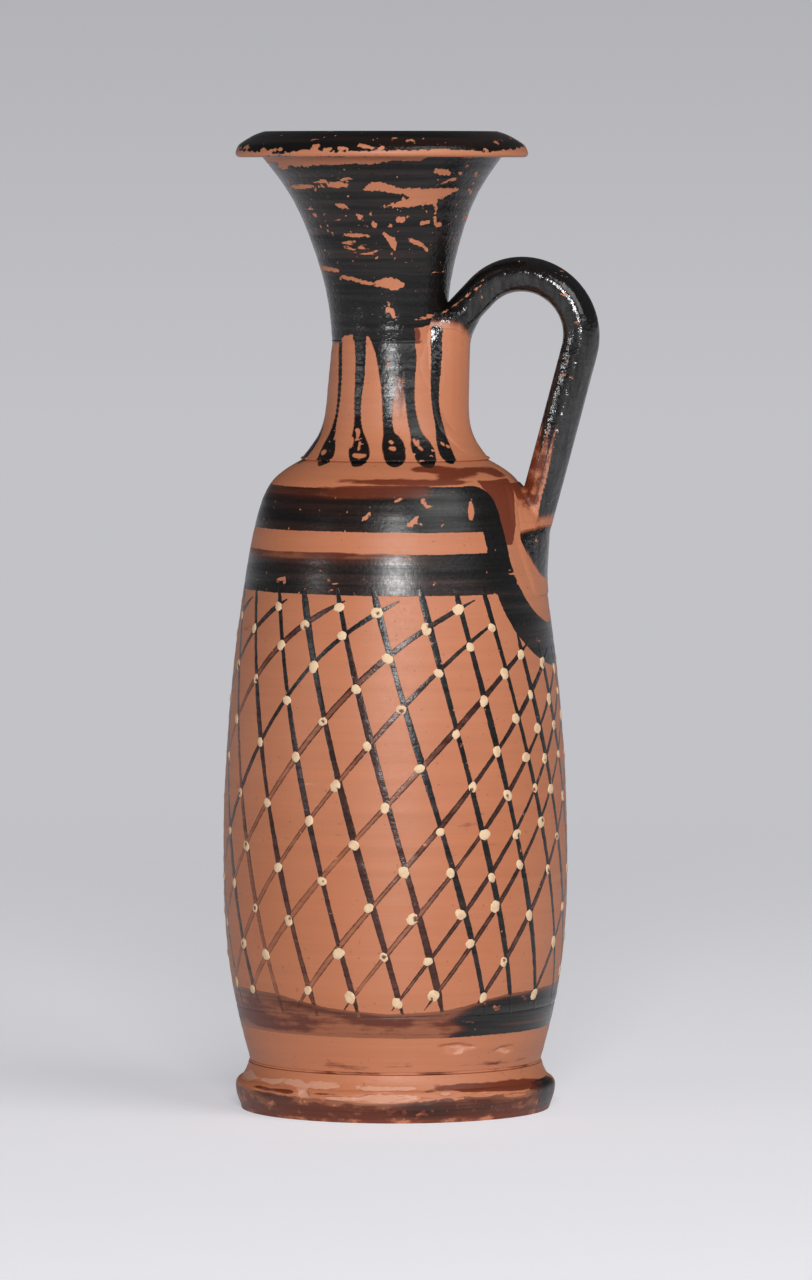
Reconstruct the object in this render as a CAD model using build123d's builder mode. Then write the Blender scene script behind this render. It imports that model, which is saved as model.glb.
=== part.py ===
from build123d import *
import math
import os

# Lekythos: a thrown clay oil flask with a disc foot, a broad body, a narrow neck,
# a flaring mouth and one strap handle. Millimetres, +Z up. The origin is on the
# body's axis, in the plane that the foot rests on, and the handle is on the +X side.

# Heights of the clay members, stacked from the foot up, and the slip between them
foot_height = 9.5
body_height = 122.9
neck_height = 23.3
mouth_height = 42.5
slip_thickness = 0.6

# Neck and mouth drift sideways, away from the handle, by this share of their height
lean = 0.045

# Foot: a disc that swells to its edge, with a sloped top and a recess under it
foot_rest_radius = 31.6
foot_edge_radius = 32.9
foot_edge_height = 5.0
foot_edge_round = 0.45
foot_side_swell = 0.3
foot_ledge_radius = 31.4
foot_ledge_height = 6.6
notch_depth = 0.3
recess_radius = 24.0
recess_depth = 1.6

# Body: radii of the outside, from the floor up to the seat of the neck
base_radius = 30.1
low_radius = 33.0
low_height = 11.7
belly_radius = 35.5
belly_height = 42.4
waist_radius = 31.1
waist_drop = 25.1
shoulder_radius = 28.5
shoulder_drop = 11.7
turn_radius = 25.2
turn_drop = 4.2
seat_radius = 19.3
body_wall = 4.2
floor_thickness = 5.6
shoulder_opening_radius = 11.0

# Neck: flares down to its seat, with a straight passage above a widened entry
neck_base_radius = 19.0
neck_flare_radius = 15.2
neck_flare_height = 5.3
neck_mid_radius = 13.4
neck_mid_height = 13.2
neck_top_radius = 11.95
bore_radius = 8.5
bore_entry_height = 7.0
neck_bead = 0.5

# Mouth: a funnel with an overhanging lip
throat_radius = 12.5
throat_height = 8.2
funnel_mid_radius = 15.2
funnel_mid_drop = 17.6
funnel_upper_radius = 18.9
funnel_upper_drop = 8.3
funnel_top_radius = 24.4
mouth_wall = 3.2
throat_step = 0.5
lip_radius = 29.9
lip_height = 5.3
lip_edge_height = 0.9
lip_crown = 0.85
lip_top_radius = 24.0
lip_inner_radius = 22.7
lip_inner_drop = 1.0

# Handle: an oval strap along a tangent line, an arch and a slanting entry to the neck
strap_thickness = 7.1
strap_width = 8.8
arch_radius = 11.9
arch_rise = 1.5
handle_reach = 39.8
entry_angle = 45.0
root_depth = 4.8

# Spread ends of the handle: how far they stand out from the wall and how wide they are
upper_root_stand = 4.7
upper_root_width = 14.8
upper_tail_stand = 2.5
upper_tail_width = 12.8
lower_root_stand = 3.5
lower_root_width = 17.0
lower_tail_stand = 1.5
lower_tail_width = 15.0
feather_stand = 0.6
feather_width = 8.6

# Levels of the joints
body_base = foot_height + slip_thickness
body_top = body_base + body_height
neck_base = body_top + slip_thickness
neck_top = neck_base + neck_height
mouth_base = neck_top + slip_thickness
mouth_top = mouth_base + mouth_height
lip_base = mouth_top - lip_height

# Levels on the outside that more than one piece uses
belly_level = body_base + belly_height
waist_level = body_top - waist_drop
shoulder_level = body_top - shoulder_drop
turn_level = body_top - turn_drop
flare_level = neck_base + neck_flare_height
neck_mid_level = neck_base + neck_mid_height
throat_level = mouth_base + throat_height
funnel_mid_level = lip_base - funnel_mid_drop
funnel_upper_level = lip_base - funnel_upper_drop

# The straight passage stands where the leaning neck meets the mouth
bore_x = -lean * (mouth_base - neck_base)
bore_base = neck_base + bore_entry_height

# Slant of neck and mouth: level circles stay level and slide sideways with height
lean_matrix = Matrix([[1, 0, -lean, lean * neck_base], [0, 1, 0, 0], [0, 0, 1, 0]])


def lean_shift(level):
    """Sideways drift of the neck, mouth and handle at a level."""
    return -lean * (level - neck_base)


def leaned(part):
    """A piece that was drawn upright, slid sideways with its height."""
    return part.transform_geometry(lean_matrix)


def body_outline(grow=0.0):
    """Points on the outside of the body, from its base to the seat of the neck."""
    return [
        (base_radius + grow, body_base),
        (low_radius + grow, body_base + low_height),
        (belly_radius + grow, belly_level),
        (waist_radius + grow, waist_level),
        (shoulder_radius + grow, shoulder_level),
        (turn_radius + grow, turn_level),
        (seat_radius + grow, body_top),
    ]


def neck_outline(grow=0.0):
    """Points on the outside of the neck, from its seat to its top."""
    return [
        (neck_base_radius + grow, neck_base),
        (neck_flare_radius + grow, flare_level),
        (neck_mid_radius + grow, neck_mid_level),
        (neck_top_radius + grow, neck_top),
    ]


def mouth_outline(grow=0.0):
    """Points on the outside of the funnel, from the neck to the underside of the lip."""
    return [
        (neck_top_radius + grow, mouth_base),
        (throat_radius + grow, throat_level),
        (funnel_mid_radius + grow, funnel_mid_level),
        (funnel_upper_radius + grow, funnel_upper_level),
        (funnel_top_radius + grow, lip_base),
    ]


def body_mass(grow):
    """The body as a filled solid, grown outwards: what the handle's lower end is cut by."""
    outline = body_outline(grow)
    with BuildPart() as mass:
        with BuildSketch(Plane.XZ):
            with BuildLine():
                Spline(*outline)
                Polyline(outline[-1], (0, body_top), (0, body_base), outline[0])
            make_face()
        revolve(axis=Axis.Z)
    return mass.part


def throat_mass(grow):
    """Upright neck and funnel, filled and grown: what the handle's upper end is cut by."""
    lower = neck_outline(grow)
    upper = mouth_outline(grow)
    with BuildPart() as mass:
        with BuildSketch(Plane.XZ):
            with BuildLine():
                Spline(*lower)
                Line(lower[-1], upper[0])
                Spline(*upper)
                Polyline(upper[-1], (0, lip_base), (0, neck_base), lower[0])
            make_face()
        revolve(axis=Axis.Z)
    return mass.part


# Foot
with BuildPart() as foot:
    with BuildSketch(Plane.XZ):
        with BuildLine():
            Line((0, recess_depth), (0, foot_height))
            Line((0, foot_height), (base_radius, foot_height))
            Line((base_radius, foot_height), (foot_ledge_radius, foot_ledge_height))
            SagittaArc(
                (foot_ledge_radius, foot_ledge_height),
                (foot_edge_radius, foot_edge_height),
                foot_edge_round,
            )
            SagittaArc(
                (foot_edge_radius, foot_edge_height),
                (foot_rest_radius, 0),
                foot_side_swell,
            )
            Polyline(
                (foot_rest_radius, 0),
                (recess_radius, 0),
                (recess_radius - recess_depth, recess_depth),
                (0, recess_depth),
            )
        make_face()
    revolve(axis=Axis.Z)

# Slip bed between foot and body, drawn back a little at the notch
with BuildPart() as foot_slip_bed:
    with BuildSketch(Plane.XY.offset(foot_height)):
        Circle(base_radius - notch_depth)
    extrude(amount=slip_thickness)

# Body: thrown wall, floor and shoulder, open under the neck
body_outside = body_outline()
cavity_floor = body_base + floor_thickness
cavity_top = body_top - body_wall
with BuildPart() as body:
    with BuildSketch(Plane.XZ):
        with BuildLine():
            Spline(*body_outside)
            Polyline(body_outside[-1], (0, body_top), (0, body_base), body_outside[0])
        make_face()
    revolve(axis=Axis.Z)
    with BuildSketch(Plane.XZ):
        with BuildLine():
            Spline(
                (base_radius - body_wall, cavity_floor),
                (belly_radius - body_wall, belly_level),
                (waist_radius - body_wall, waist_level),
                (shoulder_radius - body_wall, shoulder_level),
                (seat_radius - body_wall, cavity_top),
            )
            Polyline(
                (seat_radius - body_wall, cavity_top),
                (0, cavity_top),
                (0, cavity_floor),
                (base_radius - body_wall, cavity_floor),
            )
        make_face()
    revolve(axis=Axis.Z, mode=Mode.SUBTRACT)
    with BuildSketch(Plane.XY.offset(body_top)):
        with Locations((bore_x, 0)):
            Circle(shoulder_opening_radius)
    extrude(amount=-2 * body_wall, mode=Mode.SUBTRACT)

# Slip ring under the neck, squeezed out into a fine bead
with BuildPart() as neck_slip_ring:
    with BuildSketch(Plane.XY.offset(body_top)):
        Circle(neck_base_radius + neck_bead)
        with Locations((bore_x, 0)):
            Circle(shoulder_opening_radius, mode=Mode.SUBTRACT)
    extrude(amount=slip_thickness)

# Neck: leaning outside, straight passage with a widened entry from the body
neck_outside = neck_outline()
with BuildPart() as neck_blank:
    with BuildSketch(Plane.XZ):
        with BuildLine():
            Spline(*neck_outside)
            Polyline(neck_outside[-1], (0, neck_top), (0, neck_base), neck_outside[0])
        make_face()
    revolve(axis=Axis.Z)

with BuildPart() as neck:
    add(leaned(neck_blank.part))
    with BuildSketch(Plane.XY.offset(neck_base)):
        with Locations((bore_x, 0)):
            Circle(shoulder_opening_radius)
    with BuildSketch(Plane.XY.offset(bore_base)):
        with Locations((bore_x, 0)):
            Circle(bore_radius)
    loft(mode=Mode.SUBTRACT)
    with BuildSketch(Plane.XY.offset(bore_base)):
        with Locations((bore_x, 0)):
            Circle(bore_radius)
    extrude(amount=neck_top - bore_base, mode=Mode.SUBTRACT)

# Slip ring between neck and mouth
with BuildPart() as mouth_ring_blank:
    with BuildSketch(Plane.XY.offset(neck_top)):
        Circle(neck_top_radius)
        Circle(bore_radius + throat_step, mode=Mode.SUBTRACT)
    extrude(amount=slip_thickness)

with BuildPart() as mouth_slip_ring:
    add(leaned(mouth_ring_blank.part))

# Mouth: funnel and overhanging lip, leaning with the neck
lip_edge = lip_base + lip_edge_height
lip_slope_radius = (lip_radius + lip_top_radius) / 2
lip_slope_level = (lip_edge + mouth_top) / 2
with BuildPart() as mouth_blank:
    with BuildSketch(Plane.XZ):
        with BuildLine():
            Spline(*mouth_outline())
            Line((funnel_top_radius, lip_base), (lip_radius - lip_edge_height, lip_base))
            RadiusArc(
                (lip_radius - lip_edge_height, lip_base),
                (lip_radius, lip_edge),
                -lip_edge_height,
            )
            ThreePointArc(
                (lip_radius, lip_edge),
                (lip_slope_radius + lip_crown, lip_slope_level + lip_crown),
                (lip_top_radius, mouth_top),
            )
            Line((lip_top_radius, mouth_top), (lip_inner_radius, mouth_top - lip_inner_drop))
            Spline(
                (lip_inner_radius, mouth_top - lip_inner_drop),
                (funnel_upper_radius - mouth_wall, funnel_upper_level),
                (funnel_mid_radius - mouth_wall, funnel_mid_level),
                (throat_radius - mouth_wall, throat_level),
                (bore_radius + throat_step, mouth_base),
            )
            Line((bore_radius + throat_step, mouth_base), (neck_top_radius, mouth_base))
        make_face()
    revolve(axis=Axis.Z)

with BuildPart() as mouth:
    add(leaned(mouth_blank.part))

# Path of the upright strap: up from the shoulder, over the arch and down into the neck
arch_x = handle_reach - arch_radius
arch_z = mouth_base + arch_rise
foot_x = waist_radius - root_depth
foot_z = (waist_level + shoulder_level) / 2
foot_angle = math.atan2(foot_z - arch_z, foot_x - arch_x)
foot_distance = math.hypot(foot_x - arch_x, foot_z - arch_z)
tangent_angle = foot_angle + math.acos(arch_radius / foot_distance)
entry_radians = math.radians(90 + entry_angle)
top_radians = (tangent_angle + entry_radians) / 2
entry_x = arch_x + arch_radius * math.cos(entry_radians)
entry_z = arch_z + arch_radius * math.sin(entry_radians)
end_x = neck_top_radius - root_depth
end_z = entry_z - (entry_x - end_x) * math.tan(math.radians(entry_angle))


def arch_point(angle):
    """A point on the arch of the strap's centre line, in the plane of the handle."""
    return (arch_x + arch_radius * math.cos(angle), arch_z + arch_radius * math.sin(angle))


# Levels between two outline points, where the tail of the lower end lies
tail_level = (waist_level + shoulder_level) / 2
tail_radius = (waist_radius + shoulder_radius) / 2
upper_sections = [
    (flare_level, neck_flare_radius, feather_stand, feather_width),
    (neck_mid_level, neck_mid_radius, upper_tail_stand, upper_tail_width),
    (neck_top, neck_top_radius, upper_root_stand, upper_root_width),
    (throat_level, throat_radius, feather_stand, feather_width),
]
lower_sections = [
    (waist_level, waist_radius, feather_stand, feather_width),
    (tail_level, tail_radius, lower_tail_stand, lower_tail_width),
    (shoulder_level, shoulder_radius, lower_root_stand, lower_root_width),
    (turn_level, turn_radius + strap_thickness / 2, strap_thickness / 2, strap_width),
]

# Strap with its spread ends, still reaching into the walls
with BuildPart() as strap:
    with BuildLine(Plane.XZ) as path:
        Line((foot_x, foot_z), arch_point(tangent_angle))
        ThreePointArc(
            arch_point(tangent_angle),
            arch_point(top_radians),
            (entry_x, entry_z),
        )
        Line((entry_x, entry_z), (end_x, end_z))
    with BuildSketch(Plane(path.line @ 0, x_dir=(0, 1, 0), z_dir=path.line % 0)):
        Ellipse(strap_width / 2, strap_thickness / 2)
    sweep(path=path.line)
    for level, radius, stand, width in upper_sections:
        with BuildSketch(Plane.XY.offset(level)):
            with Locations((radius, 0)):
                Ellipse(stand, width / 2)
    loft()
    for level, radius, stand, width in lower_sections:
        with BuildSketch(Plane.XY.offset(level)):
            with Locations((radius - lean_shift(level), 0)):
                Ellipse(stand, width / 2)
    loft()

# Strap cut back to the slip on the neck, and the slip layer there, both still upright
with BuildPart() as cut_strap:
    add(strap.part)
    add(throat_mass(slip_thickness), mode=Mode.SUBTRACT)

with BuildPart() as upper_slip_blank:
    add(strap.part)
    add(throat_mass(slip_thickness), mode=Mode.INTERSECT)
    add(throat_mass(0.0), mode=Mode.SUBTRACT)

# Handle: the leaning strap, cut back to the slip on the shoulder too
with BuildPart() as handle:
    add(leaned(cut_strap.part))
    add(body_mass(slip_thickness), mode=Mode.SUBTRACT)

# Slip layers under the two spread ends
with BuildPart() as handle_upper_slip:
    add(leaned(upper_slip_blank.part))

with BuildPart() as handle_lower_slip:
    add(leaned(strap.part))
    add(body_mass(slip_thickness), mode=Mode.INTERSECT)
    add(body_mass(0.0), mode=Mode.SUBTRACT)

os.makedirs("parts", exist_ok=True)
pieces = {
    "foot": foot,
    "foot_slip_bed": foot_slip_bed,
    "body": body,
    "neck_slip_ring": neck_slip_ring,
    "neck": neck,
    "mouth_slip_ring": mouth_slip_ring,
    "mouth": mouth,
    "handle": handle,
    "handle_upper_slip": handle_upper_slip,
    "handle_lower_slip": handle_lower_slip,
}
for name, piece in pieces.items():
    piece.part.label = name
    export_step(piece.part, f"parts/{name}.step")
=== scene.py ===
"""Lekythos with a net pattern: the painted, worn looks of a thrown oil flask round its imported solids."""

import math

import bmesh
import bpy
import numpy as np
from bpy.props import FloatProperty, FloatVectorProperty, IntProperty, PointerProperty
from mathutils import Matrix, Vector


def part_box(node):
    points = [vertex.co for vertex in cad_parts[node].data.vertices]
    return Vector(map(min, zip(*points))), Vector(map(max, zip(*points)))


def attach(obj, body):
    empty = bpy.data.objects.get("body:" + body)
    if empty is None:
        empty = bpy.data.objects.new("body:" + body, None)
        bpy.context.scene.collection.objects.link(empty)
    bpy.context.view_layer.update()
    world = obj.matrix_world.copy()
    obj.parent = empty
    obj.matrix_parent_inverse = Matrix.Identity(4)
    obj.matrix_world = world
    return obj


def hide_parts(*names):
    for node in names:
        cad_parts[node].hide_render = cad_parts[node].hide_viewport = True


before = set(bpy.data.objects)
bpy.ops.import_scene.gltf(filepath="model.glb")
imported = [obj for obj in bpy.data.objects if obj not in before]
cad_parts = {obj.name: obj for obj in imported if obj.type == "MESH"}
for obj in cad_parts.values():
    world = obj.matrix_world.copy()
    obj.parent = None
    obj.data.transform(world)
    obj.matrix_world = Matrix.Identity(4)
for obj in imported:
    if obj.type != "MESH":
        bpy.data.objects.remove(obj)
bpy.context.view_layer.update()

bl_info = {
    "name": "Lekythos",
    "version": (1, 0, 0),
    "blender": (4, 5, 0),
    "location": "View3D > Sidebar > Lekythos",
    "description": "Builds a painted clay oil flask piece by piece",
    "category": "Add Mesh",
}

MM = 0.001
UV_NAME = "OFBake"

# Sections of thrown pieces stop this far from the axis, in mm
AXIS_GAP = 0.4
# Millimetres inside paint: on walls that carry none, far from any stroke, and well inside a full coat
BARE = -5.0
FAR_OUTSIDE = -9.0
FULL_COAT = 3.0

# Materials that several pieces share
PAINTED_WALL = "burnished_clay_black_gloss"
WORN_GLOSS = "worn_black_gloss"
THICK_GLOSS = "thick_black_gloss"
TONGUE_GLOSS = "tongue_black_gloss"
ABRADED_CLAY = "abraded_smoked_clay"
BRUSH_STROKES = "brushed_black_gloss"

# Levels of the joints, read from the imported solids, in millimetres
BODY_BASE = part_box("body")[0].z / MM
BODY_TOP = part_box("body")[1].z / MM
NECK_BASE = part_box("neck")[0].z / MM
NECK_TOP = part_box("neck")[1].z / MM
MOUTH_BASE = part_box("mouth")[0].z / MM
MOUTH_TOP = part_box("mouth")[1].z / MM
FOOT_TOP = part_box("foot")[1].z / MM

# Neck and mouth drift away from the handle by this share of their height above the shoulder
LEAN = 0.045
BORE_SLIDE = -LEAN * (MOUTH_BASE - NECK_BASE)

# Outlines as (radius, level) in millimetres, from the bottom up
FOOT_UNDERSIDE = [(AXIS_GAP, 1.6), (22.4, 1.6), (24.0, 0.0), (31.6, 0.0)]
FOOT_SIDE = [(31.6, 0.0), (32.5, 2.4), (32.9, 4.6), (32.75, 5.5), (32.2, 6.2), (31.4, 6.6)]
FOOT_TOP_SLOPE = [(31.4, 6.6), (30.6, 8.0), (30.1, FOOT_TOP)]
BODY_OUTSIDE = [
    (30.1, BODY_BASE), (33.0, 21.8), (35.5, 52.5), (31.1, 107.9),
    (28.5, 121.3), (25.2, 128.8), (19.3, BODY_TOP),
]
BODY_INSIDE = [(25.9, 15.7), (31.3, 52.5), (26.9, 107.9), (24.3, 121.3), (15.1, 128.8)]
NECK_OUTSIDE = [(19.0, NECK_BASE), (15.2, 138.9), (13.4, 146.8), (11.95, NECK_TOP)]
MOUTH_OUTSIDE = [(11.95, MOUTH_BASE), (12.5, 165.7), (15.2, 177.1), (18.9, 186.4), (24.4, 194.7)]
THROAT = 9.0
MOUTH_INSIDE = [(22.7, 199.0), (15.7, 186.4), (12.0, 177.1), (9.3, 165.7), (THROAT, MOUTH_BASE)]
LIP_EDGE = [(29.0, 194.7), (29.5, 194.85), (29.8, 195.15), (29.9, 195.6)]
LIP_EDGE_MIDDLE = (29.75, 195.2)
LIP_TOP = [(29.9, 195.6), (29.4, 196.9), (27.8, 198.2), (25.8, 199.3), (23.8, MOUTH_TOP)]
# Radii of the passage in the shoulder and the neck, and the height of its flared entry
SHOULDER_OPENING = 11.0
BORE = 8.5
BORE_ENTRY = 7.0
# Slip layers between the thrown pieces: radius at their borders and in their middle
FOOT_SEAM = (29.75, 30.0)
NECK_BEAD = (19.05, 19.38)
MOUTH_SEAM = (11.93, 12.02)
# Ridges and chips of the foot end at this radius
FOOT_RELIEF_END = 31.5

# Handle: an oval strap along a tangent line, an arch and a slanting entry to the neck
ARCH_CENTRE = (27.9, 159.0)
ARCH_RADIUS = 11.9
ENTRY_ANGLE = math.radians(135)
STRAP_FOOT = (26.3, 114.6)
STRAP_END = 11.4
END_FALL = math.radians(45)
STRAP_SQUARENESS = 2.6
STRAP_TWIST = math.radians(19)
STRAP_SHARE = 0.925
HALF_STRAP = 3.5
# Spread ends of the strap: (level, height over the wall, half width along the wall)
UPPER_PAD = [
    (133.7, -0.35, 6.6), (137.0, 0.4, 8.0), (141.0, 1.25, 9.0), (145.0, 2.05, 9.6), (149.0, 2.85, 10.0),
    (153.0, 3.7, 9.8), (156.0, 4.4, 8.9), (159.0, 5.3, 8.1), (161.5, 6.6, 7.0), (163.5, 7.6, 5.8),
]
LOWER_PAD = [
    (105.5, -0.1, 5.5), (109.0, 0.5, 7.6), (113.0, 1.4, 9.2), (116.5, 2.3, 10.0), (119.5, 2.9, 10.0),
    (122.5, 2.4, 9.2), (125.5, 1.3, 8.0), (128.5, 0.0, 6.0),
]
PAD_ROOT = 2.2
SMEAR_HEIGHT = 0.28
SMEAR_MARGIN = 1.3
# Level where the handle's black ends: on the strap, how much higher on its inner face, and at the neck
STRAP_BLACK_END = 121.9
STRAP_BLACK_RISE = 13.0
NECK_BLACK_END = 161.4
# Nearer the axis and higher than this the handle belongs to its end on the neck
NECK_END_REACH = 24.0
NECK_END_LEVEL = 131.0

# Net of two families of strokes. Steep: (degrees where it starts, degrees per mm going down)
NET_TOP = 105.5
NET_BASE = 21.5
STEEP_STROKES = [
    (-159.8, 0.44), (-143.8, 0.43), (-127.5, 0.424), (-114.7, 0.459), (-100.2, 0.457), (-86.2, 0.489),
    (-68.7, 0.42), (-55.1, 0.426), (-43.1, 0.475), (-32.4, 0.485), (-19.2, 0.46), (-5.5, 0.45),
    (8.2, 0.46), (21.9, 0.44), (35.6, 0.46), (49.3, 0.45), (63.0, 0.47), (76.7, 0.44), (90.4, 0.46),
    (104.1, 0.45), (117.8, 0.44), (131.5, 0.46), (145.2, 0.45), (158.9, 0.46), (172.6, 0.44),
    (186.3, 0.45),
]
# Shallow: (degrees where it starts, share of the common curve that it follows)
SHALLOW_STROKES = [
    (-123.4, 1.007), (-97.8, 1.144), (-77.4, 1.08), (-48.1, 1.252), (-22.9, 1.298), (10.9, 1.477),
    (29.6, 1.393), (43.2, 1.344), (50.4, 1.25), (60.7, 1.24), (72.5, 1.174), (96.0, 1.15), (119.4, 1.16),
    (142.9, 1.14), (166.3, 1.15), (189.8, 1.13), (213.2, 1.08),
]
HOOK_SWEEP = 22.0
HOOK_DROP = 9.0
# Steep strokes start this far over the net's top, in the band; shallow ones end this far over its base
NET_OVERLAP = 2.5
NET_SHORTFALL = 1.5
# Round bottom of the frame, under which the net starts by the handle: half turn in degrees, mm
NET_FRAME_TURN = 42.0
NET_FRAME_TOP = 104.5
NET_FRAME_DROP = 9.5
# Width of the strokes against the net's line width, and how thin the slip lies in their middle
STEEP_STYLE = (1.1, -0.06)
SHALLOW_STYLE = (0.86, 0.24)
STROKE_MARGIN = 0.2

# Tongues on the neck: each a brush path of (degrees, level, half width in mm)
TONGUES = [
    [(-167, 150, 0.4), (-162.5, 141, 0.7), (-158, 135.6, 2.0), (-156.5, 134.0, 1.8)],
    [(-138.5, 161, 0.75), (-137.4, 156.7, 0.72), (-134, 151, 0.68), (-133.5, 145.5, 0.62),
     (-135, 139.2, 0.95), (-131.5, 135.4, 2.1), (-127.5, 134.0, 1.9)],
    [(-110.5, 162, 1.6), (-110, 157.6, 1.42), (-109, 153.5, 1.25), (-109.4, 149.5, 1.15),
     (-110.6, 144.9, 0.9), (-109, 139.9, 1.05), (-104.5, 135.6, 2.2), (-101.8, 134.2, 2.1)],
    [(-87, 162, 2.2), (-86, 157, 1.9), (-83.7, 151.6, 1.6), (-83.3, 146.5, 1.25), (-83.9, 141.5, 1.05),
     (-82.2, 137.9, 1.5), (-79.7, 135.6, 2.4), (-79.2, 134.4, 2.3)],
    [(-65, 162, 1.6), (-62.5, 158.6, 1.35), (-60.5, 155.8, 1.45), (-62, 151.5, 1.35), (-63.9, 146.5, 1.1),
     (-62.8, 140.4, 1.2), (-60.6, 136.9, 1.9), (-59.6, 135.0, 2.5), (-59.7, 134.2, 2.3)],
    [(-31.5, 160.2, 0.85), (-35, 154, 0.92), (-38.6, 148.9, 0.95), (-40, 143.9, 0.95), (-40, 139.8, 1.1),
     (-42.4, 136.2, 1.7), (-43.6, 134.4, 1.8)],
    [(-76, 162, 5.0), (-75, 156.5, 4.2), (-74, 154.5, 3.0), (-72.6, 152.4, 1.5), (-72.3, 150.6, 0.5)],
]
# Lower edge of the black mouth between the tongues: (degrees, level)
HEM = [
    (-180, 157.6), (-162, 156.6), (-142, 157.0), (-132, 158.2), (-117, 158.9), (-109, 158.0),
    (-100, 158.5), (-96, 158.6), (-92, 157.5), (-76, 156.5), (-60, 157.0), (-58, 159.4), (-52, 160.0),
    (-45, 160.2), (-37, 160.6), (-20, 161.0), (20, 161.0), (40, 158.5), (60, 157.4), (90, 158.4),
    (120, 157.2), (150, 158.3), (180, 157.6),
]
# Film of slip that has run between two tongues, in the same terms as the tongues
BLURRED_SLIP = [(-72.5, 154, 2.6), (-73, 147, 1.9), (-74.5, 141, 1.0)]
# Tongues round the back, in degrees, each a path of (level, half width in mm)
BACK_TONGUES = [46, 66, 86, 110, 134, 158, 180]
BACK_TONGUE_PATH = [(158, 1.0), (150, 0.9), (142, 1.0), (136.2, 2.1), (134.4, 2.1)]
TONGUE_SEED = 5
# No tongue reaches lower than this on the shoulder
TONGUE_REACH = 130.0

# Lost flakes of gloss on the mouth: each a path of (degrees, level, half width in mm)
MOUTH_FLAKES = [
    [(-90, 188.3, 0.3), (-84, 188.9, 0.85), (-76, 188.4, 0.7), (-69, 187.7, 0.6)],
    [(-69, 187.9, 0.5), (-60, 187.4, 1.0), (-50, 187.2, 1.2), (-40, 187.6, 0.8), (-29, 188.2, 0.25)],
    [(-81, 184.8, 0.2), (-70, 185.2, 0.65), (-58, 185.8, 0.95), (-47, 186.2, 1.0)],
    [(-46, 186, 0.7), (-43, 184.4, 0.45), (-42, 182.4, 0.3), (-36, 181, 0.4)],
    [(-150, 188.6, 0.25), (-140, 188.7, 0.45), (-128, 188.8, 0.5), (-122, 188.8, 0.3)],
    [(-119, 188.9, 0.35), (-115.5, 188.8, 0.4)],
    [(-112, 188.9, 0.4), (-106, 189, 0.6), (-100, 189.1, 0.45)],
    [(-111.6, 185.2, 0.3), (-107, 184.8, 0.5), (-102.5, 184.4, 0.3)],
    [(-97.6, 183.0, 0.35), (-95.8, 182.6, 0.4)],
    [(-87.6, 181.2, 0.45), (-86, 181.0, 0.4)],
    [(-80, 179.2, 0.35), (-75, 177.9, 0.7), (-73, 176.9, 0.8), (-72, 176.2, 0.3)],
    [(-110, 179.1, 0.2), (-100, 178.9, 0.3), (-90.4, 178.8, 0.2)],
    [(-60, 178.1, 0.35), (-56, 177.6, 0.6), (-50, 176.9, 0.45), (-44.3, 176, 0.45)],
    [(-160, 172.3, 0.35), (-140, 172, 0.5), (-127, 171.6, 0.35)],
    [(-123.5, 170.5, 0.3), (-110, 169.9, 0.4), (-98, 169.2, 0.3), (-91.3, 169, 0.3)],
    [(-88, 169, 0.5), (-80, 169.3, 0.95), (-74, 169.2, 1.05), (-66, 168.8, 0.4)],
    [(-79, 165.2, 0.4), (-78.4, 164.8, 0.35)],
    [(-79, 163.7, 0.45), (-76, 163.5, 0.5), (-74, 162.4, 0.3)],
    [(-50, 192, 0.35), (-45, 191.7, 0.6), (-41, 191.3, 0.3)],
    [(-34, 191.5, 0.35), (-32.6, 191.3, 0.4)],
    [(-21, 191.8, 0.35), (-18, 191.0, 0.5), (-15, 190, 0.35)],
    [(-17, 188.2, 0.4), (-12, 187.6, 0.35)],
    [(-69, 182.2, 0.45), (-66.5, 182.0, 0.45)],
    [(-52, 181.4, 0.35), (-47, 181.6, 0.3)],
    [(-135.5, 183.1, 0.4), (-133, 182.9, 0.35)],
    [(44, 186, 0.3), (58, 186.4, 0.8), (72, 186.1, 1.0), (86, 186.8, 0.4)],
    [(110, 189.2, 0.3), (126, 189.0, 0.6), (140, 188.8, 0.4)],
    [(96, 180.6, 0.3), (112, 180.2, 0.6), (122, 180.4, 0.3)],
    [(150, 176.0, 0.3), (166, 175.5, 0.6), (178, 175.8, 0.4)],
    [(60, 172.2, 0.4), (76, 171.6, 0.5), (92, 171.8, 0.3)],
    [(160, 184.0, 0.4), (172, 183.6, 0.7), (184, 184.2, 0.4)],
]

# Lost flakes on the black bands of the body, in the same terms as the mouth's
BAND_FLAKES = [
    [(-44.8, 125.2, 0.3), (-45.4, 123.5, 0.75), (-46.2, 121.9, 0.5)],
    [(-66.6, 125.6, 0.25), (-66.2, 124.6, 0.4)],
    [(-73.8, 120.5, 0.25), (-71.8, 121.3, 0.45), (-69.9, 122.4, 0.3)],
    [(-79, 125.4, 0.2), (-76.5, 125.9, 0.3)],
    [(-92, 122.0, 0.2), (-89.5, 123.2, 0.25)],
    [(-130, 109.3, 0.3), (-126, 109.6, 0.4)],
    [(-28.5, 24.8, 0.3), (-26, 24.1, 0.45)],
    [(-41.5, 23.0, 0.3), (-39.5, 22.7, 0.35)],
    [(66, 123, 0.4), (70, 124.2, 0.6)],
    [(128, 110.4, 0.35), (134, 111.2, 0.6), (137, 110.6, 0.3)],
]

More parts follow.
